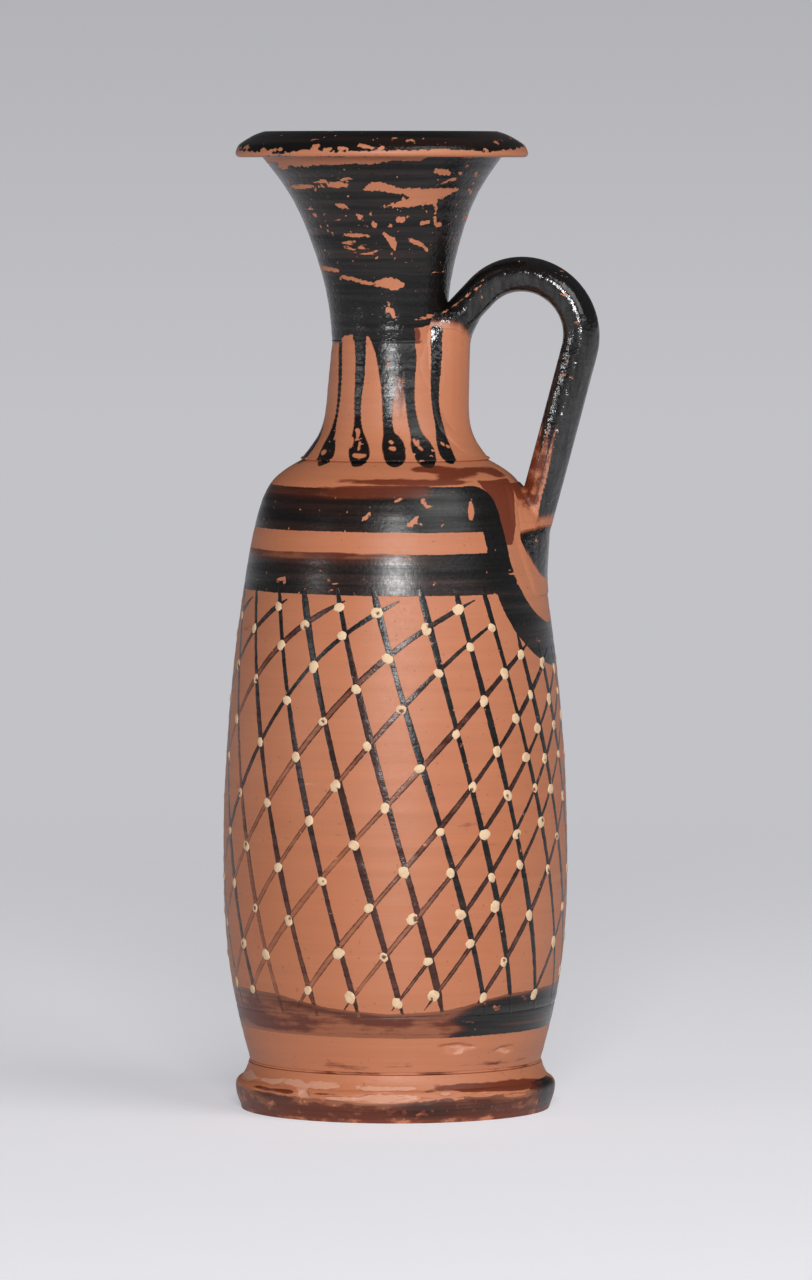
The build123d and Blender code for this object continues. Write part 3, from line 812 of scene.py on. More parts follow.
# How each painted clay differs from the plain wall
COATS = {
    PAINTED_WALL: {},
    WORN_GLOSS: {"wander_width": 1.5, "ragged_width": 1.0, "flake_size": 1.8, "gloss_roughness": 0.2,
                 "grain_depth": 0.16, "line_depth": 0.5, "grain_size": 0.45, "gloss_level": 0.36},
    THICK_GLOSS: {"wander_width": 0.35, "ragged_width": 0.3, "flake_size": 1.4, "gloss_roughness": 0.15,
                  "flake_stretch": 0.8, "grain_depth": 0.2, "line_depth": 0.2, "grain_size": 0.7,
                  "gloss_level": 0.74, "line_run": (1, 1, 0.06)},
    TONGUE_GLOSS: {"wander_width": 0.35, "ragged_width": 0.3, "flake_size": 1.4, "gloss_roughness": 0.28,
                   "flake_stretch": 0.6, "grain_depth": 0.1, "line_depth": 0.5, "grain_size": 0.45},
    ABRADED_CLAY: {"wander_width": 0.8, "ragged_width": 0.5, "flake_size": 1.5, "gloss_roughness": 0.45,
                   "flake_stretch": 0.5, "grain_depth": 0.08, "patch_size": 1.6, "chip_depth": 1.4},
    BRUSH_STROKES: {"wander_width": 0.12, "ragged_width": 0.22, "flake_size": 1.0, "gloss_roughness": 0.3,
                    "flake_stretch": 0.9, "grain_depth": 0.09, "grain_size": 0.3, "gloss_level": 0.4},
}


def coat_of(kind):
    """One of the painted clays, made once."""
    return bpy.data.materials.get(kind) or painted_clay(kind, **COATS[kind])


class LEKYTHOS_OT_foot(bpy.types.Operator):
    """Make the disc foot and the slip bed on it"""

    bl_idname = "lekythos.foot"
    bl_label = "Foot"

    def execute(self, context):
        sizes = context.scene.lekythos_sizes
        section = np.vstack([
            *[straight(a, b, 8)[:-1] for a, b in zip(FOOT_UNDERSIDE, FOOT_UNDERSIDE[1:])],
            smooth_outline(FOOT_SIDE, 70)[:-1],
            smooth_outline(FOOT_TOP_SLOPE, 26)[:-1],
            straight(FOOT_TOP_SLOPE[-1], (AXIS_GAP, FOOT_TOP), 6),
        ])
        corners = np.array([FOOT_SIDE[0], FOOT_SIDE[2], FOOT_TOP_SLOPE[-1]])
        worn = section[:, :1] >= FOOT_RELIEF_END

        def relief(angle, level):
            side = plateau(0.0, 0.8, 8.2, 9.2, level)
            chips = dents(angle, level, wall_radius(corners, level), FOOT_CHIPS)
            at_edge = np.exp(-((level - 5.4) / 0.9) ** 2)
            nibbled = smooth_step(0.1, 0.7, hand_drift(angle, 34, 60)) * at_edge
            change = throwing_ridges(angle, level, sizes) - chips - 0.3 * nibbled
            return np.where(worn, side * change, 0.0)

        points, angle, level, radius = thrown(section, 0.0, 360, relief)
        drift = 0.4 * hand_drift(angle, 31, 40)

        smoke, rubs, reds = (
            clouds(angle, level + drift, radius, places) for places in (FOOT_SMOKE, FOOT_RUBS, FOOT_REDS))
        film = np.interp(np.degrees(angle), *np.transpose(FOOT_FILM_TOP)) - level + drift
        reddened = 0.5 * smooth_step(-0.3, 0.5, film) + 0.8 * reds
        fields = {
            "paint": np.minimum(np.minimum(film, level - 0.9 + drift), 4 * (0.5 - rubs)),
            "thin": np.clip(0.95 - 0.8 * smoke, 0.1, 1.1),
            "wear": np.full(level.shape, 0.42),
            "tone": 0.75 * rubs - reddened * np.clip(1 - 1.3 * rubs, 0, 1),
        }
        mesh = grid_mesh("foot", points, fields)
        settle("foot_disc", mesh, coat_of(ABRADED_CLAY), "fired_clay", "foot")

        border = FOOT_SEAM[0]
        bed = np.vstack([
            straight((AXIS_GAP, FOOT_TOP), (border, FOOT_TOP), 6)[:-1],
            slip_bead(FOOT_SEAM, FOOT_TOP, BODY_BASE, 8)[:-1],
            straight((border, BODY_BASE), (AXIS_GAP, BODY_BASE), 6),
        ])
        points, angle, level, radius = thrown(bed, 0.0, 360)
        fields = {"paint": BARE + 0 * level, "thin": 0 * level, "wear": 0 * level, "tone": -0.3 + 0 * level}
        mesh = grid_mesh("foot_seam", points, fields)
        settle("foot_seam", mesh, coat_of(PAINTED_WALL), "slip", "foot_slip_bed")
        return {"FINISHED"}


class LEKYTHOS_OT_body(bpy.types.Operator):
    """Make the thrown body with its painted bands"""

    bl_idname = "lekythos.body"
    bl_label = "Body"

    def execute(self, context):
        sizes = context.scene.lekythos_sizes
        outside = smooth_outline(BODY_OUTSIDE, 205)
        groove = np.linspace(INCISED_LEVEL - 1.2, INCISED_LEVEL + 1.2, 15)
        spalled = np.linspace(*SPALLED_LEVELS, 14)
        levels = np.sort(np.concatenate([outside[:, 1], groove, spalled]))
        outside = np.stack([wall_radius(BODY_CURVE, levels), levels], -1)
        inside = smooth_outline(BODY_INSIDE, 50)[::-1]
        under_hole = (SHOULDER_OPENING, inside[0, 1])
        runs = [
            (straight((AXIS_GAP, BODY_BASE), outside[0], 6)[:-1], 0.0),
            (outside, 0.0),
            (straight(outside[-1], (SHOULDER_OPENING + 1, BODY_TOP), 4)[1:], 0.0),
            (straight((SHOULDER_OPENING, BODY_TOP), under_hole, 4), BORE_SLIDE),
            (straight((SHOULDER_OPENING + 1, inside[0, 1]), inside[0], 3)[:-1], 0.0),
            (inside, 0.0),
            (straight(inside[-1], (AXIS_GAP, inside[-1, 1]), 6)[1:], 0.0),
        ]
        section, slides = joined(runs)
        first = len(runs[0][0])
        shown = np.zeros(len(section), bool)
        shown[first:first + len(outside)] = True

        def relief(angle, level):
            change = body_wall(angle, level, sizes) - wall_radius(BODY_CURVE, level)
            return np.where(shown[:, None], change, 0.0)

        points, angle, level, radius = thrown(section, slides, 300, relief)
        fields = body_paint(angle, level, radius)
        fields["paint"][~shown] = BARE
        mesh = grid_mesh("body", points, fields)
        settle("body_wall", mesh, coat_of(PAINTED_WALL), "fired_clay", "body")
        return {"FINISHED"}


def body_paint(angle, level, radius):
    """Where the body is painted, how thin the slip lies, and how worn and tinted the wall is."""
    around = np.abs(angle)
    across = around * radius
    degrees = np.degrees(angle)
    low = BAND_WANDER * hand_drift(angle, 11)
    high = BAND_WANDER * hand_drift(angle, 12)
    past_frame = (around - BAND_END) * radius
    upper_band = np.minimum.reduce(
        [level - UPPER_BAND[0] - low, UPPER_BAND[1] - level - high, past_frame])
    lower_band = np.minimum.reduce(
        [level - LOWER_BAND[0] - low, LOWER_BAND[1] - level + high, past_frame])

    # Frame that hangs round the handle's root like a horseshoe: between two rounded U shapes
    inner = horseshoe(across, level, *FRAME_INNER)
    outer = horseshoe(across, level, *FRAME_OUTER)
    frame_band = np.minimum(outer, rounded(-inner, FRAME_TOP - level, FRAME_CORNER))
    drop = teardrop(across, level)

    # Foot band: brown wash, black on the handle's side
    wash_top = np.interp(degrees, *np.transpose(WASH_TOP)) + 0.4 * low
    wash = np.minimum(wash_top - level, level - WASH_BASE - 0.5 * high)
    start, full, fade, end = WASH_BLACK
    heavy = smooth_step(start, full, degrees + 2.5 * np.sin(1.9 * level))
    heavy = heavy * (1 - smooth_step(fade, end, degrees))

    whole = less_flakes(np.full(level.shape, -FAR_OUTSIDE), angle, level, radius, BAND_FLAKES)
    paint = np.minimum(np.maximum.reduce([upper_band, lower_band, frame_band, drop, wash]), whole)

    # Thin slip: red along the upper edges of both bands, brown in the wash and at the black's upper edge
    thin = 0.08 + 0.1 * hand_drift(angle + level / 25, 13)
    red_top = smooth_step(125.2, 126.6, level + 0.5 * high) * smooth_step(1.02, 1.2, around)
    red_top = red_top * smooth_step(-0.4, 0.0, upper_band) * (1 - 0.55 * smooth_step(1.7, 2.1, around))
    thin = thin + 0.55 * red_top
    lower_edge = smooth_step(112.6, 114.8, level) * (level < 117)
    red_edge = lower_edge * smooth_step(-0.4, 0.0, lower_band) * smooth_step(0.9, 1.7, around)
    thin = thin + 0.55 * red_edge
    dark_top = np.exp(-((wash_top - level - 0.9) / 0.9) ** 2)
    streak = np.exp(-((level - 19.3) / 0.45) ** 2) * smooth_step(-47, -30, degrees)
    black_thin = 0.06 + 0.4 * streak + 0.6 * smooth_step(1.5, 0.2, wash_top - level)
    wash_thin = heavy * black_thin + (1 - heavy) * (0.82 - 0.24 * dark_top)
    thin = np.where(level < WASH_LIMIT, wash_thin, thin)

    # Red smear on the shoulder, and red wash between the horseshoe and the handle's lower pad
    smear = clouds(angle, level, radius, SHOULDER_REDS)
    wash_edge = np.interp(level, *np.transpose(FRAME_WASH))
    inside_frame = smooth_step(-1.2, -0.7, inner) * smooth_step(-0.4, 0.4, across - wash_edge)
    inside_frame = inside_frame * plateau(115.8, 117, 128.7, 129.5, level)
    tone = -1.05 * np.maximum(smear, inside_frame) + 0.15 * (level > 114) * (level < 120) * (inner < 0)
    tone = tone - 0.7 * (red_top + red_edge) + 0.46 * (dents(angle, level, radius, BODY_SPALLS) > 0.05)
    tone = tone - 0.3 * np.exp(-((level - 11.3) / 0.6) ** 2) - 0.4 * smooth_step(0.2, 0.8, wash)
    wear = 0.06 + 0.14 * smooth_step(0.3, 0.9, hand_drift(angle + level / 30, 14))
    wear = wear + 0.12 * (level > 105) * smooth_step(0.75, 0.95, around)
    wear = wear + 0.55 * smooth_step(0.75, 0.1, whole)
    rows = (level > TONGUE_REACH).any(axis=1)
    if rows.any():
        paint[rows] = np.maximum(paint[rows], tongue_paint(angle[rows], level[rows], radius[rows]))
    return {"paint": paint, "thin": np.clip(thin, 0, 1), "wear": wear, "tone": tone}


def teardrop(across, level):
    """Millimetres inside the black drop under the handle, wide at its top."""
    half_width = DROP_HALF_WIDTH * np.clip((level - DROP_POINT) / DROP_HEIGHT, 0, 1) ** 0.4
    return rounded(half_width - across, DROP_TOP - 0.012 * across ** 2 - level, DROP_CORNER)


def rounded(first, second, radius):
    """Millimetres inside two edges at once, with a rounded corner where they meet."""
    first, second = radius - first, radius - second
    corner = np.hypot(np.maximum(first, 0), np.maximum(second, 0))
    return radius - corner - np.minimum(np.maximum(first, second), 0)


def horseshoe(across, level, half_width, bend_level, bend_drop):
    """Millimetres inside a U shape: straight sides above bend_level, an oval bottom below it."""
    sides = half_width - across
    oval = 1 - np.hypot(across / half_width, np.minimum(level - bend_level, 0) / bend_drop)
    return np.where(level > bend_level, sides, np.minimum(half_width, bend_drop) * oval)


class LEKYTHOS_OT_neck(bpy.types.Operator):
    """Make the neck with its tongues, its slip bead and the seam under the mouth"""

    bl_idname = "lekythos.neck"
    bl_label = "Neck"

    def execute(self, context):
        sizes = context.scene.lekythos_sizes
        outside = smooth_outline(NECK_OUTSIDE, 120)
        runs = [
            (outside, lean_slide(outside[:, 1])),
            (straight((BORE, NECK_TOP), (BORE, NECK_BASE + BORE_ENTRY), 14), BORE_SLIDE),
            (straight((BORE, NECK_BASE + BORE_ENTRY), (SHOULDER_OPENING, NECK_BASE), 6)[1:], BORE_SLIDE),
        ]
        section, slides = joined(runs)
        shown = np.arange(len(section)) < len(outside)

        def relief(angle, level):
            return np.where(shown[:, None], throwing_ridges(angle, level, sizes), 0.0)

        points, angle, level, radius = thrown(section, slides, 360, relief)
        fields = neck_paint(angle, level, radius)
        fields["paint"][~shown] = BARE
        mesh = grid_mesh("neck", points, fields, ring=True)
        settle("neck_tube", mesh, coat_of(TONGUE_GLOSS), "fired_clay", "neck")

        bead, slides = joined([
            (slip_bead(NECK_BEAD, BODY_TOP, NECK_BASE, 12), 0.0),
            (straight((SHOULDER_OPENING, NECK_BASE), (SHOULDER_OPENING, BODY_TOP), 4), BORE_SLIDE),
        ])
        points, angle, level, radius = thrown(bead, slides, 360)
        mesh = grid_mesh("neck_bead", points, neck_paint(angle, level, radius), ring=True)
        settle("neck_bead", mesh, coat_of(TONGUE_GLOSS), "slip", "neck_slip_ring")

        seam = np.vstack([
            slip_bead(MOUTH_SEAM, NECK_TOP, MOUTH_BASE, 10),
            straight((THROAT, MOUTH_BASE), (THROAT, NECK_TOP), 4),
        ])
        ledge = seam[:, :1] > THROAT

        def ledge_relief(angle, level):
            return np.where(ledge, throwing_ridges(angle, level, sizes), 0.0)

        points, angle, level, radius = thrown(seam, lean_slide(seam[:, 1]), 360, ledge_relief)
        mesh = grid_mesh("mouth_seam", points, neck_paint(angle, level, radius), ring=True)
        settle("mouth_seam", mesh, coat_of(TONGUE_GLOSS), "slip", "mouth_slip_ring")
        return {"FINISHED"}


def hem_level(angle):
    """Level of the lower edge of the mouth's black, round the neck."""
    return np.interp(np.degrees(angle), *np.transpose(HEM)) + 0.25 * hand_drift(angle, 21, 30)


def red_spot(angle, level):
    """How red the bare clay is beside the handle's upper end."""
    return np.exp(-((angle + 0.9) / 0.1) ** 2 - ((level - 158.6) / 1.7) ** 2)


def neck_paint(angle, level, radius):
    """Tongues on the neck, under the black of the mouth, and a thin film between two of them."""
    black = np.maximum(tongue_paint(angle, level, radius), level - hem_level(angle))
    film = brush(angle, level, radius, BLURRED_SLIP)
    film_thin = 0.5 + 0.65 * smooth_step(1.2, 0.0, film) + 0.5 * smooth_step(149, 141, level)
    thin = 0.06 + (film_thin - 0.06) * smooth_step(0.3, -0.3, black)
    left_worn = np.exp(-((angle + 2.15) / 0.4) ** 2)
    wear = 0.1 + 0.06 * (1 - smooth_step(135, 139, level)) + 0.24 * left_worn
    return {"paint": np.maximum(black, film), "thin": np.clip(thin, 0, 1.15), "wear": wear,
            "tone": -1.3 * red_spot(angle, level)}


class LEKYTHOS_OT_mouth(bpy.types.Operator):
    """Make the flaring mouth with its overhanging lip"""

    bl_idname = "lekythos.mouth"
    bl_label = "Mouth"

    def execute(self, context):
        sizes = context.scene.lekythos_sizes
        outside = smooth_outline(MOUTH_OUTSIDE, 150)
        section = np.vstack([
            outside,
            straight(outside[-1], LIP_EDGE[0], 14)[1:-1],
            smooth_outline(LIP_EDGE, 8)[:-1],
            smooth_outline(LIP_TOP, 34),
            straight(LIP_TOP[-1], MOUTH_INSIDE[0], 5)[1:-1],
            smooth_outline(MOUTH_INSIDE, 60),
        ])
        on_funnel = (np.arange(len(section)) < len(outside))[:, None]

        def relief(angle, level):
            fade = np.where(on_funnel, 1 - smooth_step(190, 194.6, level), 0.0)
            return fade * throwing_ridges(angle, level, sizes)

        points, angle, level, radius = thrown(section, lean_slide(section[:, 1]), 320, relief)
        drift = hand_drift(angle, 41, 24)

        # Bare clay in a strip under the lip, wider at the front and the back, and along the lip's edge
        bare_front = plateau(-2.6, -2.4, -1.05, -0.95, angle)
        bare_back = plateau(1.6, 1.9, 2.5, 2.8, angle)
        strip = 194.4 - 1.1 * np.maximum(bare_front, bare_back) + 0.9 * drift
        ends = np.exp(-((turn_between(angle, -2.95)) / 0.3) ** 2) + np.exp(-((angle - 0.1) / 0.35) ** 2)
        edge_radius, edge_level = LIP_EDGE_MIDDLE
        rim = np.hypot(radius - edge_radius, level - edge_level) - 0.6 - 0.45 * drift - 0.9 * ends
        hem = np.maximum(level - hem_level(angle), tongue_paint(angle, level, radius))
        funnel = np.minimum(np.minimum(strip - level, rim), hem)
        funnel = less_flakes(np.minimum(funnel, FULL_COAT), angle, level, radius, MOUTH_FLAKES)
        flakes = lip_flakes(sizes.hand_seed + 4)
        lip = less_flakes(np.minimum(rim, FULL_COAT), angle, level, radius, flakes)

        wear = 0.16 + 0.12 * smooth_step(-0.2, 0.7, hand_drift(angle + level / 9, 42))
        wear = wear * smooth_step(157, 178, level) + 0.12 - 0.1 * (level > 195.5)
        sound = plateau(-1.2, -0.8, 0.8, 1.2, angle) * (1 - smooth_step(170, 177, level))
        fields = {
            "paint": np.where(on_funnel, funnel, lip),
            "thin": 0.1 + 0.07 * smooth_step(163, 176, level),
            "wear": wear * (1 - sound),
            "tone": 0.1 - 1.4 * red_spot(angle, level),
        }
        mesh = grid_mesh("mouth", points, fields, ring=True)
        settle("mouth_funnel", mesh, coat_of(WORN_GLOSS), "black_gloss", "mouth")
        return {"FINISHED"}


def lip_flakes(seed):
    """Small flakes lost along the edge of the lip, as paths of (degrees, level, half width)."""
    rng = np.random.default_rng(seed)
    flakes = []
    for degrees in rng.uniform(-180, 180, 90):
        level = 195.4 + rng.exponential(0.75)
        ends = rng.uniform(0.1, 0.38, 2)
        far = (degrees + rng.uniform(1, 6), level + rng.normal(0, 0.3))
        flakes.append([(degrees, level, ends[0]), (*far, ends[1])])
    return flakes


def strap_path():
    """Centre line of the strap in its own plane, as (x, level) in mm, still upright."""
    arch_x, arch_z = ARCH_CENTRE
    foot_x, foot_z = STRAP_FOOT
    foot_distance = math.hypot(foot_x - arch_x, foot_z - arch_z)
    tangent = math.atan2(foot_z - arch_z, foot_x - arch_x) + math.acos(ARCH_RADIUS / foot_distance)
    turn = np.linspace(tangent, ENTRY_ANGLE, 60)
    arch = np.stack([arch_x + ARCH_RADIUS * np.cos(turn), arch_z + ARCH_RADIUS * np.sin(turn)], -1)
    entry_x, entry_z = arch[-1]
    end = (STRAP_END, entry_z - (entry_x - STRAP_END) * math.tan(END_FALL))
    return np.vstack([straight(STRAP_FOOT, arch[0], 50)[:-1], arch, straight(arch[-1], end, 16)[1:]])


def strap_rings(path, width, thickness):
    """Rings of points round the strap: an oval flattened on its four sides and turned a little inwards."""
    along = np.gradient(path, axis=0)
    along = along / np.linalg.norm(along, axis=1)[:, None]
    outward = np.stack([along[:, 1], -along[:, 0]], -1)
    turn = np.arange(48) * 2 * math.pi / 48
    sway = 0.2 * np.sin(np.arange(len(path)) / 11)[:, None] * np.cos(turn) ** 2
    rise = np.sign(np.sin(turn)) * np.abs(np.sin(turn)) ** (2 / STRAP_SQUARENESS) * thickness / 2 + sway
    side = np.sign(np.cos(turn)) * np.abs(np.cos(turn)) ** (2 / STRAP_SQUARENESS) * width / 2
    turned = STRAP_SHARE * (rise * math.cos(STRAP_TWIST) + side * math.sin(STRAP_TWIST))
    y = STRAP_SHARE * (side * math.cos(STRAP_TWIST) - rise * math.sin(STRAP_TWIST))
    x = path[:, :1] + outward[:, :1] * turned
    z = path[:, 1:] + outward[:, 1:] * turned
    return np.stack([x, y, z], -1)


def pad_rings(sections, wall, rows, edge):
    """Rings of clay spread on a wall, from (level, height, half width); a low edge makes them steep."""
    place = smooth_outline(sections, rows)
    face = np.linspace(-1.15, 1.15, 47)
    root = np.linspace(1.15, -1.15, 25)[1:-1]
    across = np.concatenate([face, root])
    radius = wall_radius(wall, place[:, :1])
    swell = np.cos(np.clip(across, -1, 1) * math.pi / 2) ** edge
    dip = 0.35 * smooth_step(0.85, 1.15, np.abs(across))
    shown = np.arange(len(across)) < len(face)
    reach = np.where(shown, radius + place[:, 1:2] * swell - dip, radius - PAD_ROOT)
    angle = across * place[:, 2:3] / radius
    level = np.broadcast_to(place[:, :1], angle.shape)
    return np.stack([reach * np.cos(angle), reach * np.sin(angle), level], -1)


def leaned(points):
    """Points slid sideways with their height, as the neck is."""
    moved = points.copy()
    moved[..., 0] -= LEAN * (points[..., 2] - NECK_BASE)
    return moved


def capped_tubes(name, tubes):
    """One mesh from several closed tubes of rings."""
    work = bmesh.new()
    for tube in tubes:
        columns = tube.shape[1]
        made = [[work.verts.new(Vector(p) * MM) for p in ring] for ring in tube]
        for lower, upper in zip(made, made[1:]):
            for k in range(columns):
                n = (k + 1) % columns
                work.faces.new((lower[k], lower[n], upper[n], upper[k]))
        work.faces.new(made[0])
        work.faces.new(made[-1])
    bmesh.ops.recalc_face_normals(work, faces=work.faces)
    mesh = bpy.data.meshes.new(name)
    work.to_mesh(mesh)
    work.free()
    return mesh


def worked_together(mesh, grain, passes):
    """The tubes melted into one skin with soft inner corners, as wet clay is smoothed by hand."""
    blank = bpy.data.objects.new("blank", mesh)
    bpy.context.scene.collection.objects.link(blank)
    melt = blank.modifiers.new("melt", "REMESH")
    melt.mode = "VOXEL"
    melt.voxel_size = grain * MM
    soften = blank.modifiers.new("soften", "SMOOTH")
    soften.factor = 0.5
    soften.iterations = passes
    ready = blank.evaluated_get(bpy.context.evaluated_depsgraph_get())
    skin = bpy.data.meshes.new_from_object(ready)
    bpy.data.objects.remove(blank)
    bpy.data.meshes.remove(mesh)
    return skin


class LEKYTHOS_OT_handle(bpy.types.Operator):
    """Make the pulled handle and the slip smeared round its two ends"""

    bl_idname = "lekythos.handle"
    bl_label = "Handle"

    def execute(self, context):
        sizes = context.scene.lekythos_sizes
        path = strap_path()
        strap = leaned(strap_rings(path, sizes.strap_width / MM, sizes.strap_thickness / MM))
        upper = leaned(pad_rings(UPPER_PAD, THROAT_CURVE, 80, 1.2))
        lower = pad_rings(LOWER_PAD, BODY_CURVE, 70, 1.4)
        mesh = worked_together(capped_tubes("handle", [strap, upper, lower]), 0.3, 10)
        mesh.name = "handle"
        give_fields(mesh, handle_paint(points_of(mesh), path))
        finish_mesh(mesh, 180)
        settle("handle_strap", mesh, coat_of(THICK_GLOSS), "black_gloss", "handle")

        rng = np.random.default_rng(sizes.hand_seed)
        smears = [
            ("upper_smear", UPPER_PAD[:-2], THROAT_CURVE, neck_paint, TONGUE_GLOSS, "handle_upper_slip"),
            ("lower_smear", LOWER_PAD, BODY_CURVE, body_paint, PAINTED_WALL, "handle_lower_slip"),
        ]
        for name, pad, wall, wall_paint, coat, node in smears:
            reach = []
            for at, high, wide in pad:
                reach.append((at, SMEAR_HEIGHT, wide + SMEAR_MARGIN + rng.uniform(-0.6, 0.6)))
            for end in (0, -1):
                reach[end] = (reach[end][0], -SMEAR_HEIGHT, reach[end][2])
            rings = pad_rings(reach, wall, 70, 0.5)
            if wall is THROAT_CURVE:
                rings = leaned(rings)
            mesh = worked_together(capped_tubes(name, [rings]), 0.3, 4)
            mesh.name = name
            x, y, level = points_of(mesh).T[:, :, None]
            angle = np.arctan2(y, x - lean_slide(level))
            give_fields(mesh, wall_paint(angle, level, wall_radius(wall, level)))
            finish_mesh(mesh, 180)
            settle(name, mesh, coat_of(coat), "slip", node)
        return {"FINISHED"}


def handle_paint(spots, path):
    """Black along the strap, clay on its pads, and clay and brown streaks low on the inner face."""
    line = leaned(np.stack([path[:, 0], 0 * path[:, 0], path[:, 1]], -1))[:, (0, 2)]
    gaps = np.linalg.norm(spots[:, None, (0, 2)] - line[None], axis=2)
    nearest = gaps.argmin(axis=1)
    along = np.gradient(line, axis=0)
    along = along / np.linalg.norm(along, axis=1)[:, None]
    inward = np.stack([-along[:, 1], along[:, 0]], -1)
    inner = ((spots[:, (0, 2)] - line[nearest]) * inward[nearest]).sum(axis=1) / HALF_STRAP
    steps = np.linalg.norm(np.diff(line, axis=0), axis=1)
    to_neck = np.concatenate([np.cumsum(steps[::-1])[::-1], [0.0]])[nearest]
    level = spots[:, 2]
    near_neck = (spots[:, 0] < NECK_END_REACH) & (level > NECK_END_LEVEL)
    angle = np.arctan2(spots[:, 1], spots[:, 0] - lean_slide(level))
    on_inner = smooth_step(-0.4, -0.05, inner)
    low_end = STRAP_BLACK_END - 0.03 * spots[:, 1] ** 2 + STRAP_BLACK_RISE * on_inner
    neck_end = NECK_BLACK_END - 3.0 * smooth_step(0.4, 0.04, np.abs(angle))
    black = level - np.where(near_neck, neck_end, low_end)
    fringe = black + 1.5

    # Tongue that runs over the upper pad, and drop on the lower one
    radius = wall_radius(THROAT_CURVE, level)
    tongues = np.where(near_neck, tongue_paint(angle, level, radius), BARE)
    drop = teardrop(np.abs(spots[:, 1]), level)
    paint = np.maximum.reduce([fringe, tongues, drop])
    below = np.maximum(fringe, -0.5)
    thin = 0.05 + 1.1 * smooth_step(1.4, -1.5, black)
    thin = np.where(tongues > below, 0.05, thin)
    thin = np.where(drop > below, 0.05 + 0.8 * smooth_step(1.2, -0.1, drop), thin)

    # Brown film with dark streaks along the inner face near the lower end
    streaks = np.sin(13 * inner + 0.9 * np.sin(to_neck / 5))
    streaks = streaks + 0.6 * np.sin(29 * inner - 0.7 * np.sin(to_neck / 3))
    film_thin = 0.93 - 0.2 * streaks + 0.5 * smooth_step(128, 121, level)
    film_thin = film_thin + 0.5 * smooth_step(0.5, 1.0, inner)
    filmed = (on_inner > 0.3) & (black < 6) & (level > 120.5) & ~near_neck
    paint = np.where(filmed, np.maximum(paint, 1.0), paint)
    thin = np.where(filmed, 0.05 + (film_thin - 0.05) * smooth_step(6, -1, black + 2 * streaks), thin)

    # Line of lost flakes that leads down the strap to the neck, and a crack along its inner third
    seam_width = 0.1 + 0.12 * np.sin(2.3 * to_neck) + 0.1 * np.sin(5.1 * to_neck + 1)
    seam = np.abs(inner - np.interp(to_neck, [1, 13], [-0.7, -0.1])) * HALF_STRAP - seam_width
    on_seam = (to_neck > 2.5) & (to_neck < 13) & (spots[:, 1] < 0) & (black > 0.5)
    paint = np.where(on_seam, np.minimum(paint, seam), paint)
    crack = np.exp(-((inner - 0.38) * 9) ** 2) + 0.6 * np.exp(-((inner + 0.2) * 6) ** 2)
    wear = 0.1 + 0.25 * crack * (level > 124) + 0.06 * np.sin(spots[:, 0] / 3 + level / 5)
    tone = -0.5 * on_inner * (level < 138) * smooth_step(121, 126, level) * ~near_neck
    return {"paint": paint, "thin": np.clip(thin, 0, 1.15), "wear": wear, "tone": tone}


def shallow_turn(drop):
    """Degrees that a shallow stroke runs back as it goes down, hooked at its top."""
    return drop + HOOK_SWEEP * (1 - np.exp(-drop / HOOK_DROP))


def stroke_points(degrees, level, half_width, sizes):
    """A painted ribbon on the body along a path: grid of points, and mm inside its edge."""
    angle = np.radians(degrees)
    radius = wall_radius(BODY_CURVE, level)
    run = np.gradient(angle) * radius
    fall = np.gradient(level)
    length = np.hypot(run, fall)
    across = np.linspace(-1, 1, 7)[None, :]
    offset = across * (half_width + STROKE_MARGIN)[:, None]
    spot_angle = angle[:, None] + offset * (-fall / length / radius)[:, None]
    spot_level = level[:, None] + offset * (run / length)[:, None]
    film = sizes.slip_film / MM * (1 - 1.5 * across ** 4)
    reach = body_wall(spot_angle, spot_level, sizes) + film
    points = np.stack([reach * np.cos(spot_angle), reach * np.sin(spot_angle), spot_level], -1)
    inside = half_width[:, None] - np.abs(offset)
    return points, inside, spot_angle, spot_level


